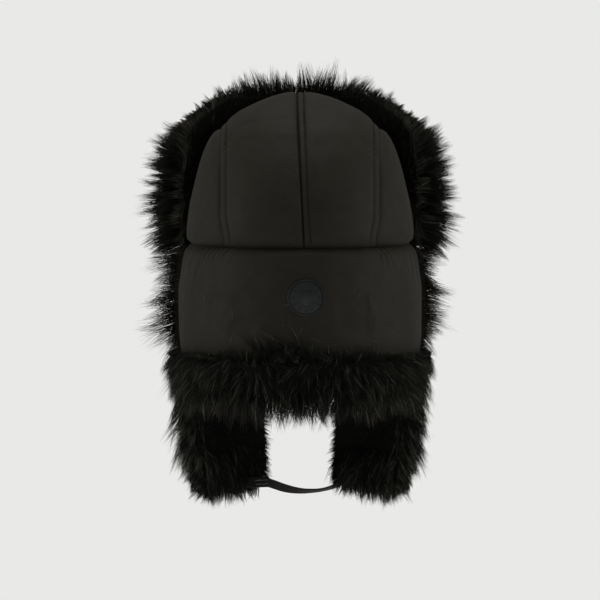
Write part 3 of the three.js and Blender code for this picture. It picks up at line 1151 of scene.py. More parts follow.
@dataclass(frozen=True)
class CrownShape:
    """The crown's dome.

    Attributes:
        rows: height, half width and half depth of each section, in millimetres.
    """

    rows: tuple[Row, ...] = (
        (85, 86, 102), (89, 89.2, 105.6), (95, 90, 107), (104, 88.5, 106), (117, 86, 103.5),
        (130, 83.2, 99), (142, 80.4, 93.5), (155, 76.6, 85.5), (167.5, 71.2, 75), (174, 67, 69),
        (186, 53.3, 52), (193, 40, 39.5), (199, 26, 25.5), (203, 12.2, 12.2), (205, 0, 0),
    )

    def size(self, z: Array, inset: Array) -> tuple[Array, Array]:
        """Returns half width and half depth at a height, set in by a distance.

        Args:
            z: heights.
            inset: distance in from the dome.

        Returns:
            Half width and half depth at each height.
        """
        table = np.array(self.rows) * MM
        # Near the top the width grows with the square root of the drop below it
        knots = np.sqrt(CROWN_TOP - table[::-1, 0])
        drop = np.sqrt(np.maximum(0, CROWN_TOP - np.minimum(z + inset, CROWN_TOP)))
        width = smooth_curve(drop, knots, table[::-1, 1]) - inset
        depth = smooth_curve(drop, knots, table[::-1, 2]) - inset
        return np.maximum(width, 1e-6), np.maximum(depth, 1e-6)

    def reach(self, reach: Array, offset: Array, other: Array) -> Array:
        """Returns how far the oval reaches along one axis, for an offset along the other."""
        share = np.clip(np.abs(offset / other), 0, 1)
        return reach * (1 - share ** PLAN_POWER) ** (1 / PLAN_POWER)

    def arch(self, x: Array, rise: Array, inset: Array) -> Array:
        """Finds the dome in a plane across X, seen from the seam level under a rise angle.

        Args:
            x: the plane's place.
            rise: angle in radians, 0 towards the back and pi towards the front.
            inset: distance in from the dome.

        Returns:
            One point for each entry.
        """
        near = np.zeros_like(x)
        far = np.full_like(x, CROWN_TOP)
        for _ in range(36):
            middle = (near + far) / 2
            y = -middle * np.cos(rise)
            z = BAND_TOP + middle * np.sin(rise)
            width, depth = self.size(z, inset)
            inside = (z < CROWN_TOP - inset) & (np.abs(y) < self.reach(depth, x, width))
            near = np.where(inside, middle, near)
            far = np.where(inside, far, middle)
        y = -near * np.cos(rise)
        return np.stack([x, y, BAND_TOP + near * np.sin(rise)], axis=-1)


@dataclass
class Crown:
    """Four padded panels with a centre seam, two side seams and their topstitching.

    Attributes:
        shape: the dome.
        wall: nylon, wadding and lining together, less what the seams press flat.
        rim: radius of the panels' rounded edges.
        seam_dip: how far the crown dips at a side seam.
        centre_dip: how far the crown dips at the centre seam.
        padding_reach: distance from a seam to full padding.
        strip: width of the flat strip between a seam and its topstitching.
        seam_top_x: place of the centre seam on top.
        seam_back_x: place of the centre seam at the back.
        seam_flare: how far the side seams come in at the crown's foot.
        seam_length: length of a seam from back to front.
        stitch_pitch: distance between stitches.
        stitch_width: a stitch's width.
        fold_width: half width of the painted shade along a seam.
        foot_width: height of the painted shade along the crown's foot, above the band.
        centre_net: flat length and width of a centre panel.
        side_net: flat length and width of a side panel.
        swelling: how the panels swell as cloth.
    """

    shape: CrownShape = field(default_factory=CrownShape)
    wall: float = 4.5 * MM
    rim: float = 0.8 * MM
    seam_dip: float = 1.7 * MM
    centre_dip: float = 1.5 * MM
    padding_reach: float = 17 * MM
    strip: float = 5.2 * MM
    seam_top_x: float = -2.4 * MM
    seam_back_x: float = 3.2 * MM
    seam_flare: float = 3.5 * MM
    seam_length: float = 300 * MM
    stitch_pitch: float = 2.5 * MM
    stitch_width: float = 0.7 * MM
    fold_width: float = 0.6 * MM
    foot_width: float = 0.9 * MM
    centre_net: tuple[float, float] = (300 * MM, 64 * MM)
    side_net: tuple[float, float] = (150 * MM, 95 * MM)
    swelling: Swelling = Swelling()

    def padding(self, distance: Array, along: Array, strip: bool, full: float) -> Array:
        """Finds how far the cloth lies below full padding beside a seam.

        Args:
            distance: distance from the seam.
            along: distance along the seam.
            strip: whether a flat stitched strip lies beside this seam.
            full: how far the cloth dips at the seam.

        Returns:
            The dip at each place.
        """
        start = self.strip if strip else 0.0
        depth = full * (0.75 if strip else 1.0)
        dip = depth * (1 - rolled(distance - start, self.padding_reach))
        groove = bump(distance, 0, 0.8 * MM) * 1.3 * MM
        if strip:
            groove = groove + bump(distance, self.strip, 0.75 * MM) * 0.4 * MM
        strength = 0.8 * MM if strip else 0.15 * MM
        return dip + groove + self.puckers(distance - start, along, strength)

    def puckers(self, beyond: Array, along: Array, strength: float) -> Array:
        """Finds the small slanting puckers beside the stitches, strongest below the top.

        Args:
            beyond: distance beyond the stitches, negative on the strip.
            along: distance along the seam.
            strength: height of the strongest puckers.

        Returns:
            The dip at each place.
        """
        end = np.minimum(along, self.seam_length - along)
        near_top = bump(end, 108 * MM, 20 * MM)
        phase = along / (0.85 * MM) + 1.7 * np.sin(along / (9 * MM)) + beyond / (1.4 * MM)
        fade = np.exp(-np.abs(beyond) / (4 * MM)) * (0.6 + 0.4 * np.sin(along / (17 * MM) + 1.0))
        return strength * (0.3 + 0.7 * near_top) * np.sin(phase) * fade

    def seam_shade(self, distance: Array, strip: bool) -> Array:
        """Returns the painted shade in a seam's groove and, faintly, along its stitches."""
        stitched = 0.1 * bump(distance, self.strip, self.fold_width) if strip else 0.0
        return 1.15 * bump(distance, 0, self.fold_width) + stitched

    def tuck(self, points: Array) -> Array:
        """Turns the lowest edge inwards, under the band's top edge."""
        share = smoothstep(1.8 * MM, 0, points[:, 2] - BAND_TOP)[:, None]
        return points * (1 - np.array([0.012, 0.012, 0]) * share) + DOWN * MM * share

    def centre_seam(self, share: Array) -> Array:
        """Returns the centre seam's X at a share of the way from back to front."""
        return mix(self.seam_back_x, self.seam_top_x, np.sin(math.pi * share))

    def side_seam(self, share: Array) -> Array:
        """Returns a side seam's distance from the middle, a little less at the crown's foot."""
        end = np.minimum(share, 1 - share)
        return SIDE_SEAM_X - self.seam_flare * smoothstep(0.11, 0.0, end)

    def centre_surface(self, side: Side, along: Array, x: Array) -> tuple[Array, Array, Array]:
        """Finds the outside of a centre panel.

        Args:
            side: which panel.
            along: share of the way from back to front.
            x: place across.

        Returns:
            The points, and their distances from the centre seam and from the side seam.
        """
        length = along * self.seam_length
        middle = np.abs(x - self.centre_seam(along))
        outer = np.abs(side.value * self.side_seam(along) - x)
        dip = np.maximum(self.padding(middle, length, side is Side.RIGHT, self.centre_dip),
                         self.padding(outer, length, True, self.seam_dip))
        dip = dip + 0.25 * MM * ripple(x * 46, length * 30, 2.0 * side.value) + 0.2 * MM
        points = self.shape.arch(x, math.pi * along, np.maximum(dip, 0.05 * MM))
        return points, middle, outer

    def columns(self, share: Array, half: Array) -> Array:
        """Spaces columns closely at a seam and its topstitching, widely between.

        Args:
            share: 0 at the seam, 1 at the panel's middle.
            half: half of the panel's width.

        Returns:
            Distances from the seam.
        """
        near = np.array([0, 0.5, 1, 1.8, 3, 4.2, 4.75, 5.2, 5.65, 6.2, 7.4]) * MM
        step = share * 17
        wide = np.clip((step - 10) / 7, 0, 1) ** 1.15
        return np.interp(step, np.arange(11), near) + (half - near[-1]) * wide

    def centre_panel(self, side: Side) -> Piece:
        """Builds one of the two centre panels.

        Args:
            side: which side of the hat.

        Returns:
            The shaped piece.
        """
        marks: dict[str, Array] = {}

        def place(along: Array, across: Array) -> Array:
            """Finds the panel's outside, and marks its painted shade and where it is held.

            Args:
                along: share of the way along, from 0 to 1.
                across: share of the way across, from 0 to 1.

            Returns:
                One point for each pair of shares.
            """
            start = self.centre_seam(along)
            width = self.side_seam(along) - side.value * start
            inner = self.columns(np.clip(2 * across, 0, 1), width / 2)
            outer = self.columns(np.clip(2 - 2 * across, 0, 1), width / 2)
            x = start + side.value * np.where(across < 0.5, inner, width - outer)
            points, middle, outer = self.centre_surface(side, along, x)
            strip = side is Side.RIGHT
            low = points[:, 2] - BAND_TOP
            # Painted shade along both seams, the stitches and the crown's foot above the band
            marks["fold"] = (self.seam_shade(middle, strip) + self.seam_shade(outer, True)
                             + bump(low, 0, self.foot_width))
            bare = self.strip if strip else 0.0
            marks["hold"] = np.maximum.reduce([
                smoothstep(bare + 3.8 * MM, bare + 0.8 * MM, middle),
                smoothstep(self.strip + 4 * MM, self.strip + 0.8 * MM, outer),
                smoothstep(4 * MM, 1 * MM, low),
            ])
            return self.tuck(points)

        return wall_piece(f"{side.word}_centre_panel", 150, 34, place, self.centre_net,
                          BAND_TOP, self.wall, self.rim, marks, self.swelling)

    def side_seam_top(self) -> float:
        """Returns the height at which the dome, set in by the seam's dip, meets the side seam.

        Returns:
            The height.
        """
        low, high = BAND_TOP, CROWN_TOP
        for _ in range(36):
            middle = (low + high) / 2
            width = float(self.shape.size(np.array([middle]), np.array([self.seam_dip]))[0][0])
            low, high = (middle, high) if width > SIDE_SEAM_X else (low, middle)
        return low

    def side_panel(self, side: Side) -> Piece:
        """Builds one of the two side panels.

        Args:
            side: which side of the hat.

        Returns:
            The shaped piece.
        """
        top = self.side_seam_top()
        marks: dict[str, Array] = {}

        def place(along: Array, up: Array) -> Array:
            """Finds the panel's outside, and marks its painted shade and where it is held.

            Args:
                along: share of the way along, from 0 to 1.
                up: share of the way up, from 0 to 1.

            Returns:
                One point for each pair of shares.
            """
            up = 1 - (1 - up) ** 1.25
            z = mix(BAND_TOP, top, up)
            width, depth = self.shape.size(z, np.full_like(z, self.seam_dip))
            seam_x = SIDE_SEAM_X - self.seam_flare * smoothstep(34 * MM, 0, z - BAND_TOP)
            seam_y = self.shape.reach(depth, seam_x, width)
            y = -seam_y * np.cos(math.pi * along)
            seam = np.minimum(seam_y - np.abs(y), (top - z) * 1.15) * 1.25
            folds = 0.25 * MM * ripple(y * 40, z * 55, 5.0 + side.value)
            length = self.seam_length * along
            dip = self.padding(seam, length, False, self.seam_dip)
            dip = np.maximum(dip + folds, 0.05 * MM)
            width, depth = self.shape.size(z, dip)
            x = np.maximum(self.shape.reach(width, y, depth), seam_x - 0.2 * MM)
            low = z - BAND_TOP
            # Painted shade along the seam and the crown's foot above the band
            marks["fold"] = self.seam_shade(seam, False) + bump(low, 0, self.foot_width)
            marks["hold"] = smoothstep(4 * MM, 1 * MM, np.minimum(seam, low))
            return self.tuck(np.stack([side.value * x, y, z], axis=-1))

        return wall_piece(f"{side.word}_side_panel", 70, 30, place, self.side_net,
                          BAND_TOP, self.wall, self.rim, marks, self.swelling)

    def stitches(self) -> Piece:
        """Builds the rows of topstitching as one joined mesh of short threads.

        Returns:
            The shaped piece.
        """
        share = np.linspace(0.012, 0.988, 900)
        rows = [(Side.RIGHT, self.centre_seam(share) + self.strip)]
        rows += [(side, side.value * (self.side_seam(share) - self.strip)) for side in Side]
        lines = [self.centre_surface(side, share, x)[0] for side, x in rows]
        lines = [line + 0.5 * MM * unit(line - np.array([0, 0, BAND_TOP])) for line in lines]
        return stitch_rows("crown_stitches", lines, self.stitch_pitch, self.stitch_width)

    def build(self, cloth: Material, thread: Material) -> None:
        """Builds and dresses the crown's pieces.

        Args:
            cloth: the nylon's material.
            thread: the stitches' material.
        """
        for side in Side:
            for piece, node in (
                (self.centre_panel(side), f"crown_centre_{side.word}"),
                (self.side_panel(side), f"crown_side_{side.word}"),
            ):
                finish_piece(piece, cloth, [node])
        finish_piece(self.stitches(), thread)


STITCH_SIDES = 6
# How much of the way to the next stitch a thread shows
STITCH_SHARE = 0.66
# Shares of a stitch's length, with its width there as a share of the full width
STITCH_FORM = ((0.0, 0.35), (0.25, 0.95), (0.75, 0.95), (1.0, 0.35))


def stitch_rows(name: str, lines: Sequence[Array], pitch: float, width: float) -> Piece:
    """Lays short bulging threads end to end along lines.

    Args:
        name: the piece's name.
        lines: closely spaced points of each line.
        pitch: distance from one stitch to the next.
        width: a thread's width.

    Returns:
        One joined mesh.
    """
    starts, ends = [], []
    for line in lines:
        first = np.arange(0, travelled(line)[-1] - pitch, pitch)
        starts.append(read_line(line, first))
        ends.append(read_line(line, first + STITCH_SHARE * pitch))
    start, end = np.concatenate(starts), np.concatenate(ends)
    along = unit(end - start)
    across = unit(np.cross(along, unit(start - np.array([0, 0, 0.06]))))
    lift = np.cross(across, along)
    sides = STITCH_SIDES
    corners = []
    for share, bulge in STITCH_FORM:
        corners += ring(mix(start, end, share), across, lift, width * bulge / 2, sides)
    faces = tube_faces(sides, 3)
    for k in range(1, sides - 1):
        faces += [(0, k + 1, k), (3 * sides, 3 * sides + k, 3 * sides + k + 1)]
    points = np.stack(corners, axis=1).reshape(-1, 3)
    piece = mesh_from_arrays(name, points, faces, len(corners))
    make_active(piece)
    turn_faces_out()
    return piece


# Band


@dataclass
class NeckBand:
    """The padded band round the back and sides, gathered into the crown's seam.

    Attributes:
        wall: nylon, wadding and lining together, less what the seams press flat.
        rim: radius of the band's rounded edges.
        radius: mean distance from the head's middle, which turns angles into distances.
        gather_height: height of the strongest gathers.
        gather_fall: length of the strongest gathers.
        gather_place: distance from the middle at which the gathers are strongest.
        turn_start: distance from the middle at which the tall soft folds start.
        side_length: distance from the middle to the last fold.
        seed: start of the random draws for the gathers.
        swelling: how the band swells as cloth.
    """

    wall: float = 6 * MM
    rim: float = 0.7 * MM
    radius: float = 104 * MM
    gather_height: float = 2.6 * MM
    gather_fall: float = 15 * MM
    gather_place: float = 92 * MM
    turn_start: float = 112 * MM
    side_length: float = 186 * MM
    seed: int = 5
    swelling: Swelling = Swelling(growth=0.003, pressure=0.1, cap=0.6 * MM)

    def gathers(self) -> Array:
        """Draws the gathers: place along the seam, width, height, length and lean of each.

        Returns:
            One row for each gather.
        """
        rng = np.random.default_rng(self.seed)
        rows = []
        for way in (-1, 1):
            place = rng.uniform(2, 5) * MM
            while place < self.side_length:
                strong = float(bump(place, self.gather_place, 30 * MM))
                tall = self.gather_height * (0.2 + 0.8 * strong) * rng.uniform(0.4, 1.15)
                fall = self.gather_fall * (0.2 + 0.8 * strong) * rng.uniform(0.5, 1.5)
                width = rng.uniform(0.7, 1.4) * MM
                rows.append((way * place, width, tall, fall, way * rng.uniform(0.1, 0.6)))
                place += rng.uniform(4.0, 7.5) * MM
            # Tall soft folds where the band turns to its ends
            place = self.turn_start
            while place < self.side_length:
                tall = rng.uniform(0.5, 1.3) * MM
                rows.append((way * place, rng.uniform(1.6, 3.2) * MM, tall,
                             rng.uniform(45, 110) * MM, way * rng.uniform(-0.04, 0.05)))
                place += rng.uniform(6.0, 12.0) * MM
        return np.array(rows)

    def relief(self, angle: Array, z: Array) -> tuple[Array, Array]:
        """Finds the band's relief.

        Args:
            angle: degrees from the middle of the back.
            z: heights.

        Returns:
            How far the cloth is lifted, and its painted shading: shade between the gathers and
            under the crown, a highlight on the gathers' ridges.
        """
        along = np.radians(angle) * self.radius
        drop = BAND_TOP - z
        lift = np.zeros_like(along)
        for place, width, tall, fall, lean in self.gathers():
            slide = (along - place - lean * drop) / (width * (1 + drop / (22 * MM)))
            lift += tall * np.exp(-slide ** 2) * np.exp(-(drop / fall) ** 1.3)
        lift *= smoothstep(0, 2 * MM, drop)
        strong = bump(np.abs(along), self.gather_place, 34 * MM)
        # Painted shade in the valleys between the strong gathers, and a painted highlight on their
        # ridges
        shade = 0.6 * strong * np.exp(-lift / (0.35 * MM)) * np.exp(-drop / (8 * MM))
        ridge = np.clip(lift / (1.1 * MM), 0, 1) * np.exp(-drop / (9 * MM))
        shade = shade - 0.8 * ridge * strong
        lift -= MM * strong * np.exp(-drop / (12 * MM)) * smoothstep(0, 2 * MM, drop)
        aside = smoothstep(42, 72, np.abs(angle)) * MM
        taper = 2.1 * bump(drop, 0, 2.5 * MM) - 2.3 * np.exp(-drop / (14 * MM)) - 0.9
        broad = 0.3 * MM * ripple(along * 26, z * 34, 9.0)
        lift += aside * taper + broad
        # The last term paints shade along the top edge, under the crown
        return lift, shade + bump(drop, 0, 0.7 * MM)

    def columns(self, share: Array) -> Array:
        """Returns each column's angle, with the columns closest together at the gathers.

        Args:
            share: share of the way across, from 0 to 1.

        Returns:
            Degrees from the middle of the back.
        """
        angles = np.array([-BAND_END_ANGLE, -85, -30, 30, 85, BAND_END_ANGLE])
        density = np.array([0.75, 1.6, 0.55, 1.6, 0.75])
        travelled = np.concatenate([[0], np.cumsum(np.diff(angles) * density)])
        return np.interp(share, travelled / travelled[-1], angles)

    def build(self, cloth: Material, hair: Material) -> None:
        """Builds and dresses the band and the hairs that cling to it.

        Args:
            cloth: the nylon's material.
            hair: the long strands' material.
        """
        marks: dict[str, Array] = {}

        def place(along: Array, up: Array) -> Array:
            """Finds the band's outside, and marks its painted shade and highlights and where it is
            held.

            Args:
                along: share of the way along, from 0 to 1.
                up: share of the way up, from 0 to 1.

            Returns:
                One point for each pair of shares.
            """
            angle = self.columns(along)
            z = mix(0.0, BAND_TOP - SEAM_GAP, 1 - (1 - up) ** 1.5)
            lift, marks["fold"] = self.relief(angle, z)
            drop = BAND_TOP - z
            end = np.radians(BAND_END_ANGLE - np.abs(angle)) * self.radius
            gathered = smoothstep(30 * MM, 14 * MM, drop) * smoothstep(15, 35, np.abs(angle))
            marks["hold"] = np.maximum.reduce([
                smoothstep(14 * MM, 2 * MM, drop), smoothstep(6 * MM, 1 * MM, z),
                smoothstep(6 * MM, 1 * MM, end), gathered,
                0.95 * smoothstep(52, 66, np.abs(angle)),
            ])
            return BODY_WALL.point(angle, z, lift)

        piece = wall_piece("nylon_band", 264, 30, place, (380 * MM, 85 * MM), 0.04,
                           self.wall, self.rim, marks, self.swelling)
        finish_piece(piece, cloth, ["neck_band"])
        coat = Coat(count=30, thickness=0.26 * MM, joints=3, wisp=1, pull=0, stray=0.5,
                    sway=0.6, light_share=1, seed=31)
        grow_layers([("shed_hairs", coat, self.shed_growth, 3.0)], hair)

    def shed_growth(self, along: Array, up: Array) -> Roots:
        """Finds a few shed hairs that cling to the band's lower half.

        Args:
            along: share of the way along, from 0 to 1.
            up: share of the way up, from 0 to 1.

        Returns:
            The strands' roots.
        """
        angle, z = mix(-58, 52, along), mix(10 * MM, 50 * MM, up)
        points = BODY_WALL.point(angle, z, 0.9 * MM)
        side = unit(BODY_WALL.point(angle + 1, z, 0.0) - BODY_WALL.point(angle, z, 0.0))
        turn = (np.pi * ripple(along * 40, up * 30, 2.0))[:, None]
        way = side * np.cos(turn) - 0.8 * DOWN * np.sin(turn)
        bent = side * np.cos(turn + 0.9) - 0.8 * DOWN * np.sin(turn + 0.9)
        return Roots(points, unit(way), unit(bent), np.full(len(z), 8 * MM))


@dataclass
class Badge:
    """A round moulded patch with plain rings and short ticks, bent to the band.

    Attributes:
        centre_x: its centre across the back.
        centre_z: its centre's height.
        radius: its outer radius.
        lift: gap between the band and the patch.
        depth: thickness of the flat disc.
        steps: inset and rise of each ring after the first, in millimetres.
        ticks: number of short raised ticks.
        tick_size: width, length and height of a tick.
        tick_radius: distance of the ticks from the patch's middle.
    """

    centre_x: float = 4.7 * MM
    centre_z: float = 47 * MM
    radius: float = 14.6 * MM
    lift: float = 0.5 * MM
    depth: float = 1.5 * MM
    steps: tuple[tuple[float, float], ...] = (
        (0.35, 0.5), (0.9, 0.0), (0.35, -0.8), (0.45, 0.0), (0.3, 0.25), (5.2, 0.0),
        (0.3, 0.35), (0.5, 0.0), (0.3, -0.35), (2.2, 0.12), (1.6, 0.1), (1.2, 0.04),
    )
    ticks: int = 12
    tick_size: Row = (0.7 * MM, 2.6 * MM, 1.0 * MM)
    tick_radius: float = 9.6 * MM

    def rings(self) -> Piece:
        """Models the disc flat: a circle that is inset and raised ring by ring.

        Returns:
            The shaped piece.
        """
        clear_selection()
        bpy.ops.mesh.primitive_circle_add(vertices=96, radius=self.radius, fill_type="NGON")
        piece = bpy.context.object
        bpy.ops.object.mode_set(mode="EDIT")
        bpy.ops.mesh.select_all(action="SELECT")
        bpy.ops.mesh.extrude_region_move(TRANSFORM_OT_translate={"value": (0, 0, self.depth)})
        for inset, rise in self.steps:
            bpy.ops.mesh.inset(thickness=inset * MM, depth=rise * MM)
        bpy.ops.mesh.poke()
        turn_faces_out()
        return piece

    def tick(self) -> Piece:
        """Models one raised tick, flat.

        Returns:
            The shaped piece.
        """
        clear_selection()
        bpy.ops.mesh.primitive_cube_add(size=1, location=(0, 0, 0))
        piece = bpy.context.object
        piece.scale = self.tick_size
        bpy.ops.object.transform_apply(location=False, rotation=False, scale=True)
        apply_modifier(piece, "BEVEL", width=0.22 * MM, segments=2)
        return piece

    def bend(self, piece: Piece) -> None:
        """Lays a flat piece on the band's curve.

        Args:
            piece: the piece.
        """
        flat = read_points(piece.data)
        x, z = flat[:, 0] + self.centre_x, flat[:, 1] + self.centre_z
        width, _ = BODY_WALL.size(z)
        reach = np.sign(x) * np.abs(x / width) ** (PLAN_POWER / 2)
        angle = np.degrees(np.arcsin(reach))
        write_points(piece.data, BODY_WALL.point(angle, z, flat[:, 2] + self.lift))

    def build(self, rubber: Material) -> None:
        """Builds and dresses the patch.

        Args:
            rubber: the patch's material.
        """
        parts = [self.rings()]
        first = self.tick()
        for k in range(self.ticks):
            turn = k * math.tau / self.ticks
            copy = first.copy()
            copy.data = first.data.copy()
            bpy.context.scene.collection.objects.link(copy)
            flat = read_points(copy.data) + np.array([0, self.tick_radius, self.depth + 0.05 * MM])
            spin = np.array([[math.cos(turn), -math.sin(turn), 0],
                             [math.sin(turn), math.cos(turn), 0], [0, 0, 1]])
            write_points(copy.data, flat @ spin.T)
            parts.append(copy)
        bpy.data.objects.remove(first)
        clear_selection()
        for part in parts:
            part.select_set(True)
        bpy.context.view_layer.objects.active = parts[0]
        bpy.ops.object.join()
        piece = parts[0]
        piece.name = "round_patch"
        self.bend(piece)
        make_active(piece)
        bpy.ops.object.shade_smooth_by_angle(angle=math.radians(35))
        finish_piece(piece, rubber, ["rubber_patch"])


# Visor


@dataclass
class Visor:
    """The turned-up front flap: a nylon board and its deep fur.

    Attributes:
        outline: height, half width of the board and half width of the fur, in millimetres.
        board_thickness: thickness of the nylon board.
        seat: gap between the board and the fur.
        fur_depth: depth of the dense underfur.
        fur_low: lowest edge of the fur.
        fur_high: highest edge of the fur.
        board_low: lower edge of the board.
        board_high: upper edge of the board.
        fur_net: flat width and height of the fur.
        board_net: flat width and height of the board.
        front_lengths: length of the front strands in the middle and at the sides.
        low_length: length of the front strands at the lower edge.
        rim_length: length of the rim's strands.
        rim_extra: how much longer they are at the halo's widest part.
        rim_loss: how much shorter they are on the front.
        back_lengths: length of the back strands at the rim and in from it.
        middle_z: height from which the fur fans out.
        flatness: how much less the outward directions turn to the front than to the sides.
    """

    outline: tuple[Row, ...] = (
        (79, 66, 85.5), (90, 71, 87.5), (110, 72, 88), (140, 70, 87), (160, 62, 84.5),
        (172, 52, 80.5), (183, 38, 72), (191, 26, 61.5), (198, 20, 50),
    )
    board_thickness: float = 4 * MM
    seat: float = 0.8 * MM
    fur_depth: float = 15 * MM
    fur_low: float = 79 * MM
    fur_high: float = 198 * MM
    board_low: float = 82 * MM
    board_high: float = 184 * MM
    fur_net: tuple[float, float] = (260 * MM, 119 * MM)
    board_net: tuple[float, float] = (170 * MM, 102 * MM)
    front_lengths: tuple[float, float] = (25 * MM, 17 * MM)
    low_length: float = 18 * MM
    rim_length: float = 29 * MM
    rim_extra: float = 5 * MM
    rim_loss: float = 11 * MM
    back_lengths: tuple[float, float] = (29 * MM, 24 * MM)
    middle_z: float = 122 * MM
    flatness: float = 0.78

    @property
    def hide(self) -> float:
        """Distance from the visor's inner face to the back of the fur's hide."""
        return self.board_thickness + self.seat

    def point(self, share: Array, z: Array, outward: Array, fur: bool) -> Array:
        """Finds points of the visor, out from its inner face by a distance.

        Args:
            share: share of the way across, from 0 to 1.
            z: heights.
            outward: distance out from the inner face.
            fur: whether to follow the fur's outline and not the board's.

        Returns:
            One point for each share and height.
        """
        share, z, outward = np.broadcast_arrays(share, z, outward)
        table = np.array(self.outline) * MM
        reach = smooth_curve(z, table[:, 0], table[:, 2 if fur else 1])
        width, _ = VISOR_WALL.size(z)
        half = np.degrees(np.arcsin((reach / width) ** (PLAN_POWER / 2)))
        return VISOR_WALL.point(180 + mix(half, -half, share), z, outward)

    def board(self) -> Piece:
        """Builds the nylon board.

        Returns:
            The shaped piece.
        """
        return wall_piece(
            "visor_backing", 44, 24,
            lambda share, up: self.point(share, mix(self.board_low, self.board_high, up),
                                         self.board_thickness, False),
            self.board_net, 0.1, self.board_thickness, 1.2 * MM,
        )

    def fur_back(self, share: Array, up: Array) -> Array:
        """Finds the back of the fur's hide."""
        z = mix(self.fur_low, self.fur_high, up)
        return self.point(share, z, self.hide, True)

    def fan(self, points: Array) -> Array:
        """Returns the direction in which the halo spreads at each place."""
        z = points[:, 2] - self.middle_z
        return unit(np.stack([points[:, 0] / (84 * MM), 0 * z, z / (74 * MM)], axis=-1))

    def front_growth(self, share: Array, up: Array) -> Roots:
        """Finds the roots on the front: out from the head, then spreading.

        Args:
            share: share of the way across, from 0 to 1.
            up: share of the way up, from 0 to 1.

        Returns:
            The strands' roots.
        """
        z = mix(self.fur_low, self.fur_high, up)
        roll = rolled(edge_distance(share, up, self.fur_net), 14 * MM)
        outward = self.hide + self.fur_depth * (0.1 + 0.75 * roll)
        points = self.point(share, z, outward, True)
        ahead = outwards(points, self.flatness)
        aside = self.fan(points)
        edge = np.maximum(np.abs(2 * share - 1) ** 2, np.abs(2 * up - 1) ** 3)[:, None]
        rise = unit(mix(ahead, aside, 0.15 + 0.6 * edge))
        sweep = unit(mix(rise, aside, 0.55) + 0.2 * DOWN * (np.abs(2 * share - 1) ** 2)[:, None])
        length = mix(*self.front_lengths, np.abs(2 * share - 1) ** 2)
        length = mix(length, self.low_length, smoothstep(0.28, 0.0, up))
        return Roots(points, rise, sweep, length * self.corner_cut(points))

    def corner_cut(self, points: Array) -> Array:
        """Returns how much of its length a strand keeps near the upper corners."""
        high = bump(points[:, 2], 184 * MM, 19 * MM)
        return 1 - 0.62 * high * smoothstep(36 * MM, 52 * MM, np.abs(points[:, 0]))

    def border(self, around: Array, inset: Array) -> tuple[Array, Array]:
        """Finds shares on the border or in from it.

        Args:
            around: share of the way up one side, over the top and down the other.
            inset: distance in from the border.

        Returns:
            The share across and the share up.
        """
        top = (around - 0.36) / 0.28
        share = np.clip(top, 0, 1)
        up = np.where(around < 0.5, around, 1 - around) / 0.36
        up = np.clip(up, 0, 1)
        return mix(share, 0.5, inset / (120 * MM)), mix(up, 0.45, inset / (64 * MM))

    def rim_growth(self, around: Array, across: Array) -> Roots:
        """Finds the roots on the rolled rim, whose strands make the halo.

        Args:
            around: share of the way round, from 0 to 1.
            across: share of the way across, from 0 to 1.

        Returns:
            The strands' roots.
        """
        share, up = self.border(around, across * 10 * MM)
        z = mix(self.fur_low, self.fur_high, up)
        roll = rolled(across, 1 / 0.9)
        outward = self.hide + self.fur_depth * (0.03 + 0.7 * roll)
        points = self.point(share, z, outward, True)
        aside = self.fan(points)
        back = np.array([0, -1.0, 0])
        rise = unit(aside + mix(0.35, -0.15, across)[:, None] * back)
        low = smoothstep(0.35, 0.0, up)[:, None]
        sweep = unit(aside + 0.12 * back + 0.42 * low * DOWN)
        widest = bump(z, 109 * MM, 17 * MM)
        length = self.rim_length + self.rim_extra * widest - self.rim_loss * across
        return Roots(points, rise, sweep, length * self.corner_cut(points))

    def back_growth(self, around: Array, across: Array) -> Roots:
        """Finds the roots on the back of the hide, whose strands cover it from behind.

        Args:
            around: share of the way round, from 0 to 1.
            across: share of the way across, from 0 to 1.

        Returns:
            The strands' roots.
        """
        share, up = self.border(around, across * 30 * MM)
        z = mix(self.fur_low, self.fur_high, up)
        points = self.point(share, z, self.hide + 0.3 * MM, True)
        aside = self.fan(points)
        out = outwards(points, self.flatness)
        level = unit(aside - (aside * out).sum(axis=1, keepdims=True) * out + 1e-6)
        rise = unit(level - 0.5 * out)
        sweep = unit(aside + 0.25 * level)
        length = mix(*self.back_lengths, across)
        return Roots(points, rise, sweep, length * self.corner_cut(points))

    def build(self, cloth: Material, base: Material, hair: Material) -> None:
        """Builds and dresses the visor.

        Args:
            cloth: the nylon's material.
            base: the underfur's material.
            hair: the long strands' material.
        """
        finish_piece(self.board(), cloth, ["visor_board"])
        pelt = pelt_piece("visor_underfur", 92, 50, self.fur_back, self.fur_depth,
                          14 * MM, 2.2 * MM, self.fur_net)
        finish_piece(pelt, base, ["visor_fur"])
        grow_layers((
            ("visor_front_hair", Coat(count=5200, light_share=0.05, seed=11),
             self.front_growth, 2.1),
            ("visor_rim_hair", Coat(count=12700, thickness=0.44 * MM, wisp=26, uneven=0.42,
                                    light_share=0.015, seed=12), self.rim_growth, 24),
            ("visor_back_hair", Coat(count=6000, thickness=0.4 * MM, wisp=24, ragged=0.6,
                                     light_share=0.05, grey=0.12, seed=13),
             self.back_growth, 11),
        ), hair)


# Neck trim and ear flaps


@dataclass(frozen=True)
class FlapOutline:
    """Rear and front edges of an ear flap by height.

    Attributes:
        rows: height in millimetres, then both edges in degrees from the middle of the back.
    """

    rows: tuple[Row, ...] = (
        (-112, 103, 153), (-104, 96, 160), (-80, 91, 161), (-50, 90, 160.5), (-30, 90.5, 154),
        (-10, 98, 146), (0, 104.4, 142), (20, 104.4, 138), (60, 104.4, 135), (85, 104.4, 134),
    )

    def edges(self, z: Array) -> list[Array]:
        """Returns the rear and the front edge's angle at each height."""
        table = np.array(self.rows)
        return [np.interp(z, table[:, 0] * MM, table[:, k]) for k in (1, 2)]


FLAP_OUTLINE = FlapOutline()


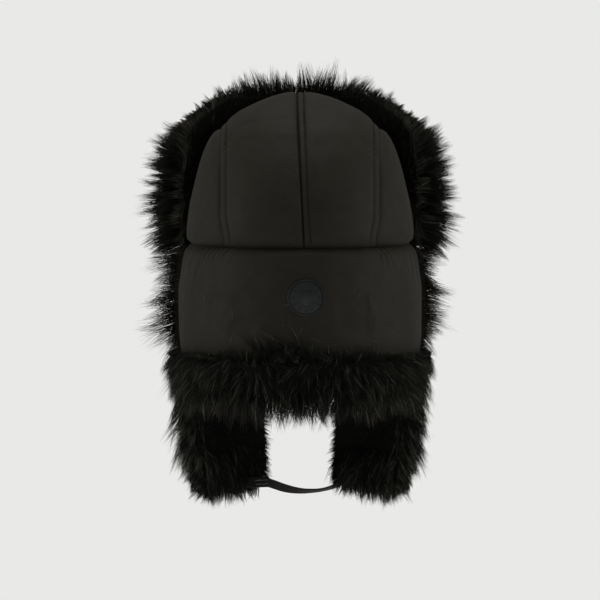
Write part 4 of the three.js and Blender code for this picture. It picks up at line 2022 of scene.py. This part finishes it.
@dataclass
class NeckTrim:
    """The fur trim below the band, from one ear flap to the other.

    Attributes:
        low: lower edge of the hide.
        high: upper edge of the hide.
        seat: gap between lining and fur.
        fur_depth: depth of the dense underfur.
        length: distance round the trim.
        height: height of the trim's net.
        guard_length: length of the outer strands.
        lower_lengths: length of the lower strands at the sides and in the middle.
        upper_lengths: length of the upper strands outside and in the tufts.
        loose_length: length of the loose tuft's strands.
        pile_length: length of the short pile.
        flatness: how much less the outward directions turn to the back than to the sides.
    """

    low: float = -30 * MM
    high: float = -0.3 * MM
    seat: float = 0.45 * MM
    fur_depth: float = 9 * MM
    length: float = 290 * MM
    height: float = 30 * MM
    guard_length: float = 22 * MM
    lower_lengths: tuple[float, float] = (25 * MM, 31 * MM)
    upper_lengths: tuple[float, float] = (7 * MM, 23 * MM)
    loose_length: float = 32 * MM
    pile_length: float = 5 * MM
    flatness: float = 0.74

    def point(self, share: Array, z: Array, splay: float, outward: Array) -> Array:
        """Finds points of the trim, which ends a little short of the flaps."""
        end = FLAP_OUTLINE.edges(z)[0] - splay
        return BODY_WALL.point(mix(-end, end, share), z, outward)

    def lining(self) -> Piece:
        """Builds the lining wall.

        Returns:
            The shaped piece.
        """
        return wall_piece(
            "nape_lining", 80, 8,
            lambda share, up: self.point(share, mix(self.low, self.high, up), 0.3, 0.0),
            (self.length, self.height), 0.0, LINING_DEPTH, 0.5 * MM,
        )

    def fur_back(self, share: Array, up: Array) -> Array:
        """Finds the back of the fur's hide."""
        return self.point(share, mix(self.low, self.high, up), 1.5, self.seat)

    def growth(self, share: Array, up: Array) -> Roots:
        """Finds the roots of the outer strands: out and down, with tufts over the band's edge.

        Args:
            share: share of the way across, from 0 to 1.
            up: share of the way up, from 0 to 1.

        Returns:
            The strands' roots.
        """
        z = mix(self.low, self.high, up)
        roll = rolled(np.minimum(up, 1 - up) * self.height, 9 * MM)
        outward = self.seat + self.fur_depth * self.fullness(share) * (0.15 + 0.7 * roll)
        points = self.point(share, z, 1.2, outward)
        out = outwards(points, self.flatness)
        ends = (np.abs(2 * share - 1) ** 4)[:, None]
        tuft = self.tufts(points)[:, None]
        lean = self.lean(out, 0.55 * ripple(share * self.length / (14 * MM), up * 1.5, 7.0))
        high = smoothstep(0.5, 0.95, up)[:, None]
        drop = mix(1.0, 0.3, up)[:, None]
        rise = unit(out * (1 - 0.8 * ends) + DOWN * (drop - 1.1 * high * tuft)
                    + 0.6 * lean)
        sweep = unit(out * 0.3 + DOWN * (1.0 - 1.45 * high * tuft) + lean)
        length = self.guard_length * (1 - 0.5 * ends[:, 0])
        return Roots(points, rise, sweep, length)

    def fullness(self, share: Array) -> Array:
        """Returns the underfur's depth at a place, which is less near the trim's ends."""
        return mix(0.4, 1.0, smoothstep(0, 0.15, np.minimum(share, 1 - share)))

    def lean(self, out: Array, amount: Array) -> Array:
        """Returns how the strands lean to the side of their outward directions."""
        return amount[:, None] * sideways(out)

    def lower_growth(self, share: Array, through: Array) -> Roots:
        """Finds the roots along the lower edge, from the lining's inside to the fur.

        Args:
            share: share of the way across, from 0 to 1.
            through: share of the way from the inside to the outside.

        Returns:
            The strands' roots.
        """
        # The strands are densest in the middle, where only they hide the lining's edge
        share = 0.5 + 0.5 * (2 * share - 1) * np.abs(2 * share - 1) ** 0.5
        z = self.low + 1 * MM + 5 * MM * np.abs(through - 0.4)
        outward = mix(-LINING_DEPTH, self.fur_depth * 0.8 * self.fullness(share), through)
        points = self.point(share, z, 1.2, outward)
        out = outwards(points, self.flatness)
        lean = self.lean(out, 0.35 * ripple(share * self.length / (12 * MM), through, 5.0))
        rise = unit(DOWN + mix(-0.3, 0.45, through)[:, None] * out + lean)
        sweep = unit(DOWN + mix(-0.05, 0.15, through)[:, None] * out + lean)
        middle = smoothstep(66 * MM, 50 * MM, np.abs(points[:, 0]))
        return Roots(points, rise, sweep, mix(*self.lower_lengths, middle))

    def tufts(self, points: Array) -> Array:
        """Returns how far the fur rises over the band's edge, most left of the middle.

        Args:
            points: places on the hat.

        Returns:
            The rise at each place, from 0 to 1.
        """
        x = points[:, 0]
        main = 0.16 * bump(x, -14 * MM, 15 * MM)
        near = 0.56 * np.exp(-(x / (66 * MM)) ** 6)
        patchy = 0.25 * ripple(x / (9 * MM), points[:, 2] * 60, 4.0)
        return np.clip((main + near) * (points[:, 1] < 0) + patchy, 0, 1)

    def upper_growth(self, share: Array, through: Array) -> Roots:
        """Finds the roots of the tufts that rise over the band's lower edge.

        Args:
            share: share of the way across, from 0 to 1.
            through: share of the way from the inside to the outside.

        Returns:
            The strands' roots.
        """
        # A few long strands make a loose tuft that leans to the left
        loose = through < 0.07
        share = np.where(loose, 0.468 + 0.11 * (share - 0.5), share)
        z = self.high - 0.5 * MM - 4 * MM * through
        points = self.point(share, z, 1.2, self.seat + self.fur_depth * (0.1 + 0.8 * through))
        out = outwards(points, self.flatness)
        amount = 0.9 * ripple(share * self.length / (13 * MM), through, 3.0)
        lean = self.lean(out, np.where(loose, 0.3 * amount - 0.8, amount))
        tuft = self.tufts(points)
        rise = unit(0.45 * out - 0.9 * DOWN + 0.5 * lean)
        sweep = unit(0.2 * out - (1.4 * tuft - 0.25)[:, None] * DOWN + lean)
        length = np.where(loose, self.loose_length, mix(*self.upper_lengths, tuft))
        return Roots(points, rise, sweep, length)

    def pile_growth(self, share: Array, up: Array) -> Roots:
        """Finds the roots of the short pile inside the lining.

        Args:
            share: share of the way across, from 0 to 1.
            up: share of the way up, from 0 to 1.

        Returns:
            The strands' roots.
        """
        z = mix(self.low, self.high, up)
        points = self.point(share, z, 0.5, -LINING_DEPTH + 0.3 * MM)
        inward = -outwards(points, self.flatness)
        sweep = unit(inward + 1.1 * DOWN)
        return Roots(points, inward, sweep, np.full(len(z), self.pile_length))

    def build(self, base: Material, hair: Material, pile: Material) -> None:
        """Builds and dresses the trim.

        Args:
            base: the underfur's material.
            hair: the long strands' material.
            pile: the short pile's material.
        """
        finish_piece(self.lining(), base, ["neck_lining"])
        pelt = pelt_piece("nape_underfur", 120, 18, self.fur_back, self.fur_depth,
                          8 * MM, 1.6 * MM, (self.length, self.height), 46 * MM)
        finish_piece(pelt, base, ["neck_fur"])
        grow_layers((
            ("nape_guard_hair", Coat(count=8800, thickness=0.32 * MM, stray=0.2, sway=0.4,
                                     ragged=0.62, light_share=0.07, seed=21),
             self.growth, 9.0),
            ("nape_lower_hair", Coat(count=2900, thickness=0.46 * MM, stray=0.2, sway=0.35,
                                     uneven=0.2, ragged=0.35, light_share=0.08, seed=24),
             self.lower_growth, 30.0),
            ("nape_upper_hair", Coat(count=3500, thickness=0.34 * MM, stray=0.24, sway=0.4,
                                     ragged=0.48, light_share=0.04, seed=23),
             self.upper_growth, 30.0),
        ), hair)
        short = Coat(count=2400, thickness=0.75 * MM, joints=1, wisp=10, pull=0.3, stray=0.3,
                     light_share=0.0, seed=22)
        grow_layers([("nape_pile", short, self.pile_growth, 9.0)], pile)


@dataclass
class EarFlap:
    """One ear flap: a lining with short pile inside and long fur outside.

    Attributes:
        side: which side of the hat.
        low: lower edge of the lining.
        high: upper edge of the lining.
        fur_low: lower edge of the fur.
        fur_high: upper edge of the fur.
        seat: gap between lining and fur.
        fur_depth: depth of the dense underfur.
        fur_net: flat width and height of the fur.
        waist: distance from the fur's lower edge at which it is slimmer.
        lining_net: flat width and height of the lining.
        notch_z: height at which the fur is shortest, below the visor.
        guard_lengths: length of the outer strands at the lower edge and above it.
        rear_lengths: length of the rear strands outside and inside.
        hem_lengths: least and greatest length along the lower edge.
        fringe_length: length of the front fringe.
        cover_length: length of the strands over the strap's end.
        pile_length: length of the short pile.
        flatness: how much less the outward directions turn to the front than to the sides.
    """

    side: Side
    low: float = -112 * MM
    high: float = 84.7 * MM
    fur_low: float = -109 * MM
    fur_high: float = 80 * MM
    seat: float = 0.45 * MM
    fur_depth: float = 9.5 * MM
    fur_net: tuple[float, float] = (80 * MM, 189 * MM)
    waist: float = 86 * MM
    lining_net: tuple[float, float] = (80 * MM, 197 * MM)
    notch_z: float = 62 * MM
    guard_lengths: tuple[float, float] = (15 * MM, 26 * MM)
    rear_lengths: tuple[float, float] = (23 * MM, 16 * MM)
    hem_lengths: tuple[float, float] = (12 * MM, 20 * MM)
    fringe_length: float = 8.5 * MM
    cover_length: float = 22 * MM
    pile_length: float = 6 * MM
    flatness: float = 0.72

    def point(self, share: Array, z: Array, outward: Array, rear: float = 0.0) -> Array:
        """Finds points of the flap between its rear edge, at share 0, and its front edge."""
        angle = mix(*FLAP_OUTLINE.edges(z), share) + rear * (1 - share)
        return BODY_WALL.point(self.side.value * angle, z, outward)

    def lining(self) -> Piece:
        """Builds the lining wall.

        Returns:
            The shaped piece.
        """
        return wall_piece(
            f"{self.side.word}_flap_lining", 22, 50,
            lambda share, up: self.point(share, mix(self.low, self.high, up), 0.0),
            self.lining_net, -0.02, LINING_DEPTH, 0.6 * MM,
        )

    def fur_back(self, share: Array, up: Array) -> Array:
        """Finds the back of the fur's hide."""
        return self.point(share, mix(self.fur_low, self.fur_high, up), self.seat, 0.7)

    def outward_and_back(self, points: Array) -> tuple[Array, Array]:
        """Returns the directions out from the head and along the flap to its rear edge."""
        out = outwards(points, self.flatness)
        return out, -self.side.value * sideways(out)

    def growth(self, share: Array, up: Array) -> Roots:
        """Finds the roots of the long outer strands.

        Args:
            share: share of the way across, from 0 to 1.
            up: share of the way up, from 0 to 1.

        Returns:
            The strands' roots.
        """
        z = mix(self.fur_low, self.fur_high, up)
        inset = edge_distance(share, up, self.fur_net)
        slim = 1 - WAIST_SHARE * bump(z, self.fur_low + self.waist, WAIST_REACH)
        outward = self.seat + self.fur_depth * slim * (0.1 + 0.75 * rolled(inset, 11 * MM))
        points = self.point(share, z, outward, 0.5)
        out, back = self.outward_and_back(points)
        below = smoothstep(-26 * MM, -44 * MM, z)
        rear = (np.clip(1 - 3.2 * share, 0, 1) * below)[:, None]
        front = np.clip(4 * share - 3, 0, 1)[:, None]
        hang = mix(0.95, 0.25, smoothstep(-12 * MM, 30 * MM, z))[:, None]
        rise = unit(mix(out, DOWN, hang * 0.6) + 0.5 * rear * back - 0.3 * front * back)
        sweep = unit(mix(out, DOWN, hang * 0.93) + 0.3 * rear * back)
        notch = np.clip(1 - np.abs(z - self.notch_z) / (16 * MM), 0, 1)
        shortest = 18 * MM if self.side is Side.LEFT else 15 * MM
        length = mix(mix(*self.guard_lengths, smoothstep(-0.02, 0.3, up)), shortest, notch)
        length = length * self.fullness(z)
        return Roots(points, rise, sweep, length * self.corner_cut(points))

    def fullness(self, z: Array) -> Array:
        """Returns the outer fur's length at a height, against its usual length.

        Args:
            z: heights.

        Returns:
            The share of the usual length.
        """
        if self.side is Side.RIGHT:
            return 1 - 0.3 * bump(z, 1 * MM, 15 * MM)
        return 1 + 0.45 * bump(z, 71 * MM, 8 * MM) + 0.25 * bump(z, 19 * MM, 9 * MM)

    def corner_cut(self, points: Array) -> Array:
        """Returns how much of its length a strand keeps near the rounded outer corner."""
        low = smoothstep(-78 * MM, -106 * MM, points[:, 2])
        return 1 - 0.42 * low * smoothstep(66 * MM, 84 * MM, np.abs(points[:, 0]))

    def rear_growth(self, down: Array, across: Array) -> Roots:
        """Finds the roots along the rear edge and a little way inside it.

        Args:
            down: share of the way down, from 0 to 1.
            across: share of the way across, from 0 to 1.

        Returns:
            The strands' roots.
        """
        z = mix(-22 * MM, self.low + 2 * MM, down)
        inside = across > 0.45
        share = np.where(inside, (across - 0.45) * 0.42, 0.01)
        outward = np.where(inside, -LINING_DEPTH - 0.2 * MM,
                           mix(-LINING_DEPTH, self.fur_depth * 0.55, 1 - across / 0.45))
        points = self.point(share, z, outward)
        out, back = self.outward_and_back(points)
        inner = np.clip((across - 0.3) / 0.7, 0, 1)[:, None]
        rise = unit(back * (1 - 0.45 * inner) + out * (0.55 - 1.25 * inner) + 0.7 * DOWN)
        sweep = unit(back * 0.35 + out * (0.5 - 0.75 * inner) + 1.1 * DOWN)
        length = mix(*self.rear_lengths, inner[:, 0])
        return Roots(points, rise, sweep, length * self.corner_cut(points))

    def hem_growth(self, across: Array, through: Array) -> Roots:
        """Finds the roots along the lower edge, from the lining's inside to the fur.

        Args:
            across: share of the way across, from 0 to 1.
            through: share of the way from the inside to the outside.

        Returns:
            The strands' roots.
        """
        share = np.clip(across, 0.01, 0.985)
        inside = np.clip(0.5 - through, 0, 1) * 2
        z = self.low + 1.5 * MM + mix(30 * MM * inside ** 1.7, 9 * MM * (through - 0.5),
                                      through > 0.5)
        outward = mix(-LINING_DEPTH - 0.2 * MM, self.fur_depth * 0.8,
                      np.clip(2 * through - 1, 0, 1))
        points = self.point(share, z, outward)
        out, back = self.outward_and_back(points)
        fan = (0.55 - share)[:, None] * 1.3
        # The strap's stitched tab stays bare, and the other flap's fur hides the strap's end
        near_strap = smoothstep(0.6, 0.74, share) * inside
        cover = near_strap[:, None] * (self.side is Side.RIGHT)
        rise = unit(DOWN + (mix(-0.75, 0.6, through)[:, None] - 1.3 * cover) * out
                    + 0.5 * fan * back)
        sweep = unit(DOWN + mix(-0.25, 0.3, through)[:, None] * out + fan * (1 - cover) * back)
        length = mix(*self.hem_lengths, np.sin(math.pi * (0.12 + 0.6 * (1 - share))))
        if self.side is Side.LEFT:
            length = length * (1 - 0.75 * near_strap)
        return Roots(points, rise, sweep, length * self.corner_cut(points))

    def fringe_growth(self, down: Array, through: Array) -> Roots:
        """Finds the roots of the short fringe along the front edge.

        Args:
            down: share of the way down, from 0 to 1.
            through: share of the way from the inside to the outside.

        Returns:
            The strands' roots.
        """
        z = mix(-26 * MM, self.low + 4 * MM, down)
        points = self.point(np.full_like(z, 0.985), z, -LINING_DEPTH * through)
        out, back = self.outward_and_back(points)
        rise = unit(-back + 0.5 * DOWN - 0.3 * out)
        return Roots(points, rise, unit(rise + 0.6 * DOWN), np.full(len(z), self.fringe_length))

    def cover_growth(self, share: Array, up: Array) -> Roots:
        """Finds the roots of the fur that hangs over the strap's far end.

        Args:
            share: share of the way across, from 0 to 1.
            up: share of the way up, from 0 to 1.

        Returns:
            The strands' roots.
        """
        z = mix(-103 * MM, -90 * MM, up)
        points = self.point(mix(0.62, 0.985, share), z, -LINING_DEPTH)
        out, back = self.outward_and_back(points)
        rise = unit(DOWN - 1.5 * out - 0.15 * back)
        sweep = unit(DOWN - 0.25 * out)
        return Roots(points, rise, sweep, np.full(len(z), self.cover_length))

    def pile_growth(self, share: Array, up: Array) -> Roots:
        """Finds the roots of the short pile inside, longer along the front edge.

        Args:
            share: share of the way across, from 0 to 1.
            up: share of the way up, from 0 to 1.

        Returns:
            The strands' roots.
        """
        z = mix(self.low + 1.5 * MM, self.high - 6 * MM, up)
        points = self.point(share, z, -LINING_DEPTH + 0.3 * MM)
        inward = -outwards(points, self.flatness)
        forward = -self.side.value * sideways(inward)
        front = smoothstep(0.9, 1.0, share)[:, None]
        rise = unit(inward + 0.8 * front * forward + 0.3 * DOWN)
        sweep = unit(inward * 0.8 + DOWN + 0.9 * front * forward)
        return Roots(points, rise, sweep, np.full(len(z), self.pile_length))

    def build(self, base: Material, hair: Material, pile: Material) -> None:
        """Builds and dresses the flap.

        Args:
            base: the underfur's material.
            hair: the long strands' material.
            pile: the short pile's material.
        """
        word = self.side.word
        finish_piece(self.lining(), base, [f"flap_lining_{word}"])
        pelt = pelt_piece(f"{word}_flap_underfur", 32, 74, self.fur_back, self.fur_depth,
                          11 * MM, 2.0 * MM, self.fur_net, waist=self.waist)
        finish_piece(pelt, base, [f"flap_fur_{word}"])
        seed = 40 + 10 * self.side.value
        layers = [
            (f"{word}_flap_guard_hair", Coat(count=8000, thickness=0.34 * MM, uneven=0.55,
                                             ragged=0.65, light_share=0.08, seed=seed),
             self.growth, 0.42),
            (f"{word}_flap_rear_hair", Coat(count=3600, thickness=0.36 * MM, uneven=0.55,
                                            ragged=0.6, light_share=0.12, seed=seed + 1),
             self.rear_growth, 4.0),
            (f"{word}_flap_hem_hair", Coat(count=3600, thickness=0.36 * MM, ragged=0.6,
                                           light_share=0.08, seed=seed + 2),
             self.hem_growth, 3.0),
            (f"{word}_flap_fringe", Coat(count=1500, joints=1, wisp=9, uneven=0.5,
                                         seed=seed + 4),
             self.fringe_growth, 20.0),
        ]
        if self.side is Side.RIGHT:
            cover = Coat(count=900, wisp=12, seed=9)
            layers.append((f"{word}_flap_strap_cover", cover, self.cover_growth, 1.5))
        grow_layers(layers, hair)
        short = Coat(count=4400, thickness=0.8 * MM, joints=1, wisp=8, pull=0.4, stray=0.3,
                     light_share=0.0, seed=seed + 3)
        grow_layers([(f"{word}_flap_pile", short, self.pile_growth, 0.42)], pile)


# Chin strap


@dataclass
class ChinStrap:
    """The flat strap between the flaps, its stitched tab and its hidden snap.

    Attributes:
        route: X, Y, Z in millimetres and turn in degrees, from the tab to the other flap.
        width: the tape's width.
        thickness: the tape's thickness.
        tab_angles: both ends of the tab, in degrees from the middle of the back.
        tab_heights: lower and upper edge of the tab.
        tab_thickness: thickness of the doubled tab.
        tab_seat: gap between the flap's lining and the tab.
    """

    route: tuple[tuple[float, float, float, float], ...] = (
        (-26, 76.2, -110.4, 0), (-20, 78.3, -112.6, 8), (-12, 79.8, -115.4, 24),
        (-4, 80.8, -117.1, 42), (4, 81.2, -117.8, 56), (12, 81, -117.5, 66),
        (20, 79.6, -116.2, 72), (28, 76, -113.4, 74), (33, 71.8, -110.6, 60),
        (37.2, 68, -107.8, 30), (41.4, 64.5, -105.2, 0),
    )
    width: float = 7 * MM
    thickness: float = 1.6 * MM
    tab_angles: tuple[float, float] = (147.0, 161.6)
    tab_heights: tuple[float, float] = (-114.4 * MM, -106 * MM)
    tab_thickness: float = 2.2 * MM
    tab_seat: float = 0.7 * MM

    def centreline(self, steps: int) -> tuple[Array, Array]:
        """Returns evenly spaced points along the strap and its turn at each, in radians.

        Args:
            steps: number of stretches between the points.

        Returns:
            The points and the turns.
        """
        rows = np.array(self.route)
        rows[:, :3] *= MM
        knots = np.arange(len(rows), dtype=float)
        fine = np.linspace(0, len(rows) - 1, 400)
        line = np.stack([smooth_curve(fine, knots, rows[:, k]) for k in range(4)], axis=1)
        spaced = read_line(line, np.linspace(0, travelled(line[:, :3])[-1], steps + 1))
        return spaced[:, :3], np.radians(spaced[:, 3])

    def length(self) -> float:
        """Returns the strap's length."""
        return float(travelled(self.centreline(120)[0])[-1])

    def strap(self) -> Piece:
        """Builds the woven tape with its rounded edges and fine ribs.

        Returns:
            The shaped piece.
        """
        steps = 100
        points, turn = self.centreline(steps)
        along = unit(np.gradient(points, axis=0))
        facing = unit(np.cross(along, np.array([0, 0, 1.0])))
        wide = unit(np.cross(facing, along))
        across = wide * np.cos(turn)[:, None] + np.cross(along, wide) * np.sin(turn)[:, None]
        through = facing * np.cos(turn)[:, None] + np.cross(along, facing) * np.sin(turn)[:, None]
        spots = 20

        def place(share: Array, around: Array) -> Array:
            """Finds the tape's skin.

            Args:
                share: share of the way across, from 0 to 1.
                around: share of the way round, from 0 to 1.

            Returns:
                One point for each pair of shares.
            """
            row = np.clip(np.round(share * steps).astype(int), 0, steps)
            angle = around * math.tau
            flat, deep = (np.sign(way) * np.abs(way) ** 0.55
                          for way in (np.cos(angle), np.sin(angle)))
            rib = 1 + 0.05 * np.sin(flat * 22)
            return (points[row] + across[row] * (flat * self.width / 2)[:, None]
                    + through[row] * (deep * rib * self.thickness / 2)[:, None])

        piece = net_piece("chin_tape", steps, spots, place, (self.length(), 17 * MM))
        make_active(piece)
        bpy.ops.object.mode_set(mode="EDIT")
        bpy.ops.mesh.select_all(action="DESELECT")
        bpy.ops.mesh.select_non_manifold(extend=False)
        bpy.ops.mesh.fill_holes(sides=spots + 2)
        turn_faces_out()
        bpy.ops.object.shade_smooth_by_angle(angle=math.radians(50))
        return piece

    def tab(self) -> Piece:
        """Builds the doubled tab on the inside of the flap.

        Returns:
            The shaped piece.
        """

        def place(share: Array, up: Array) -> Array:
            """Finds the tab's face towards the flap.

            Args:
                share: share of the way across, from 0 to 1.
                up: share of the way up, from 0 to 1.

            Returns:
                One point for each pair of shares.
            """
            angle = mix(self.tab_angles[0], self.tab_angles[1], share)
            z = mix(self.tab_heights[0], self.tab_heights[1], up)
            return BODY_WALL.point(-angle, z, -LINING_DEPTH - self.tab_seat)

        return wall_piece("strap_loop_tab", 24, 10, place, (21 * MM, 8.4 * MM), -0.11,
                          self.tab_thickness, 0.6 * MM)

    def tab_stitches(self) -> Piece:
        """Builds the box of pale stitches on the tab.

        Returns:
            The shaped piece.
        """
        angles = mix(self.tab_angles[0], self.tab_angles[1], np.array([0.36, 0.9]))
        low, high = self.tab_heights
        heights = mix(low, high, np.array([0.32, 0.7]))
        corners = [(angles[0], heights[0]), (angles[1], heights[0]), (angles[1], heights[1]),
                   (angles[0], heights[1]), (angles[0], heights[0])]
        outward = -LINING_DEPTH - self.tab_seat - self.tab_thickness - 0.1 * MM
        lines = []
        for (a0, z0), (a1, z1) in zip(corners, corners[1:]):
            t = np.linspace(0, 1, 40)
            lines.append(BODY_WALL.point(-mix(a0, a1, t), mix(z0, z1, t), outward))
        return stitch_rows("tab_stitches", lines, 1.9 * MM, 0.34 * MM)

    def build(self, tape: Material, thread: Material, plastic: Material) -> None:
        """Args:
            tape: the strap's material.
            thread: the stitches' material.
            plastic: the snap's material.
        """
        points, _ = self.centreline(60)
        strap = self.strap()
        finish_piece(strap, tape, ["chin_strap"])
        tuple(points[0])
        self.length()
        [tuple(place) for place in points]
        finish_piece(self.tab(), tape, ["strap_tab"])
        finish_piece(self.tab_stitches(), thread)
        snap = frame["nodes"]["strap_snap"]
        snap.data.materials.clear()
        snap.data.materials.append(plastic)


# Studio


@dataclass
class Studio:
    """A pale room with soft light and a long lens behind the hat.

    Attributes:
        distance: from the camera to the hat.
        elevation: the camera's height angle in degrees.
        frame_width: width that the picture covers at the hat.
        centre_z: height at the picture's middle.
        floor_z: height of the floor, well below the hanging hat.
        pale: colour of the room.
        fill: how strongly the room lights the hat.
    """

    distance: float = 7.0
    elevation: float = 3.0
    frame_width: float = 474 * MM
    centre_z: float = 39.5 * MM
    floor_z: float = -0.62
    pale: Row = (0.815, 0.815, 0.8)
    fill: float = 0.22

    def camera(self) -> None:
        """Places the camera."""
        data = bpy.data.cameras.new("camera")
        data.sensor_width = 36
        data.lens = data.sensor_width * self.distance / self.frame_width
        camera = bpy.data.objects.new("camera", data)
        bpy.context.scene.collection.objects.link(camera)
        rise = math.radians(self.elevation)
        back = Vector((0, -math.cos(rise), math.sin(rise)))
        camera.location = Vector((0, 0, self.centre_z)) + back * self.distance
        camera.rotation_euler = (-back).to_track_quat("-Z", "Y").to_euler()
        data.clip_end = 50
        bpy.context.scene.camera = camera

    def light(self, name: str, place: Row, size: float, power: float,
              tint: Row = (1, 1, 1)) -> None:
        """Adds one soft square light that faces the hat.

        Args:
            name: the light's name.
            place: the light's place.
            size: the light's width.
            power: its power in watts.
            tint: its colour.
        """
        data = bpy.data.lights.new(name, "AREA")
        data.size = size
        data.energy = power
        data.color = tint
        lamp = bpy.data.objects.new(name, data)
        bpy.context.scene.collection.objects.link(lamp)
        lamp.location = place
        aim = Vector((0, 0, 0.08)) - Vector(place)
        lamp.rotation_euler = aim.to_track_quat("-Z", "Y").to_euler()

    def floor(self) -> None:
        """Adds the pale round floor."""
        clear_selection()
        bpy.ops.mesh.primitive_circle_add(vertices=128, radius=1.5, fill_type="NGON",
                                          location=(0, 0, self.floor_z))
        disc = bpy.context.object
        disc.name = "floor"
        shader = Shader("pale_floor")
        shader.set(base_color=(*self.pale, 1), roughness=0.9)
        disc.data.materials.append(shader.material)

    def world(self) -> None:
        """Sets the pale surroundings, which light the hat less than they show."""
        world = bpy.data.worlds.new("pale_room")
        world.use_nodes = True
        tree = world.node_tree
        path = add_node(tree, "LightPath")
        strength = add_node(tree, "MapRange", {0: path.outputs["Is Camera Ray"], 3: self.fill})
        background = tree.nodes["Background"]
        background.inputs["Color"].default_value = (*self.pale, 1)
        plug(tree, background.inputs["Strength"], strength.outputs[0])
        bpy.context.scene.world = world
        bpy.context.scene.view_settings.view_transform = "Standard"
        bpy.context.scene.view_settings.look = "None"

    def build(self) -> None:
        """Builds the whole stage."""
        self.world()
        self.camera()
        self.floor()
        self.light("key_above", (0.05, 0.1, 2.0), 1.5, 31.5, (1.0, 0.95, 0.87))
        self.light("left_side", (-1.8, -0.25, 0.3), 1.0, 20, (1.0, 0.96, 0.9))
        self.light("right_side", (1.8, -0.25, 0.3), 1.0, 20, (1.0, 0.96, 0.9))
        self.light("low_back", (0.0, -2.1, -0.45), 1.2, 17)


# Each cloth's first colour is painted shade in the hollows of its soft creases, its second the
# raised, worn parts
NYLON = Cloth("olive_black_nylon", (0.0091, 0.0082, 0.0058), (0.011, 0.0104, 0.0076),
              roughness=0.7, shine=0.1)
WEBBING = Cloth("woven_tape", (0.0036, 0.0034, 0.0034), (0.0066, 0.0062, 0.0062), pitch=0.7 * MM,
                weave_depth=0.12 * MM, crease_size=6 * MM, crease_depth=0.1 * MM)
THREAD = Cloth("seam_thread", (0.003, 0.0028, 0.0024), (0.0055, 0.005, 0.0042), pitch=0.3 * MM,
               weave_depth=0.04 * MM, crease_size=4 * MM, crease_depth=0.05 * MM)
PALE_THREAD = Cloth("pale_thread", (0.22, 0.22, 0.21), (0.4, 0.4, 0.38), pitch=0.3 * MM,
                    weave_depth=0.04 * MM, crease_size=4 * MM, crease_depth=0.05 * MM)
FUR_HAIR = Hair("long_fur", (0.0025, 0.0028, 0.0021), (0.24, 0.24, 0.2), shine=0.05)
PILE_HAIR = Hair("short_pile", (0.0016, 0.0016, 0.0017), (0.02, 0.02, 0.02), roughness=0.7)
BASE = Underfur("dense_underfur", (0.0036, 0.0037, 0.003))
PATCH_RUBBER = Rubber("patch_rubber", (0.0042, 0.005, 0.0053), 0.48)
SNAP_PLASTIC = Rubber("snap_plastic", (0.006, 0.006, 0.006), 0.35)


def main() -> None:
    """Builds the scene in order: camera and strap first, then crown, band and fur."""
    known = set(bpy.data.objects.keys())
    Studio().build()
    nylon = NYLON.material()
    tape = WEBBING.material()
    thread = THREAD.material()
    hair = FUR_HAIR.material()
    pile = PILE_HAIR.material()
    base = BASE.material()
    ChinStrap().build(tape, PALE_THREAD.material(), SNAP_PLASTIC.material())
    Crown().build(nylon, thread)
    NeckBand().build(nylon, hair)
    Badge().build(PATCH_RUBBER.material())
    Visor().build(nylon, base, hair)
    NeckTrim().build(base, hair, pile)
    for side in Side:
        EarFlap(side).build(base, hair, pile)
    added = [item for item in bpy.data.objects if item.type == "MESH" and item.name not in known]
    triangles = sum(len(face.vertices) - 2 for item in added for face in item.data.polygons)
    log.info("triangles added: %d", triangles)
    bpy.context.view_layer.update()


if __name__ == "__main__":
    main()
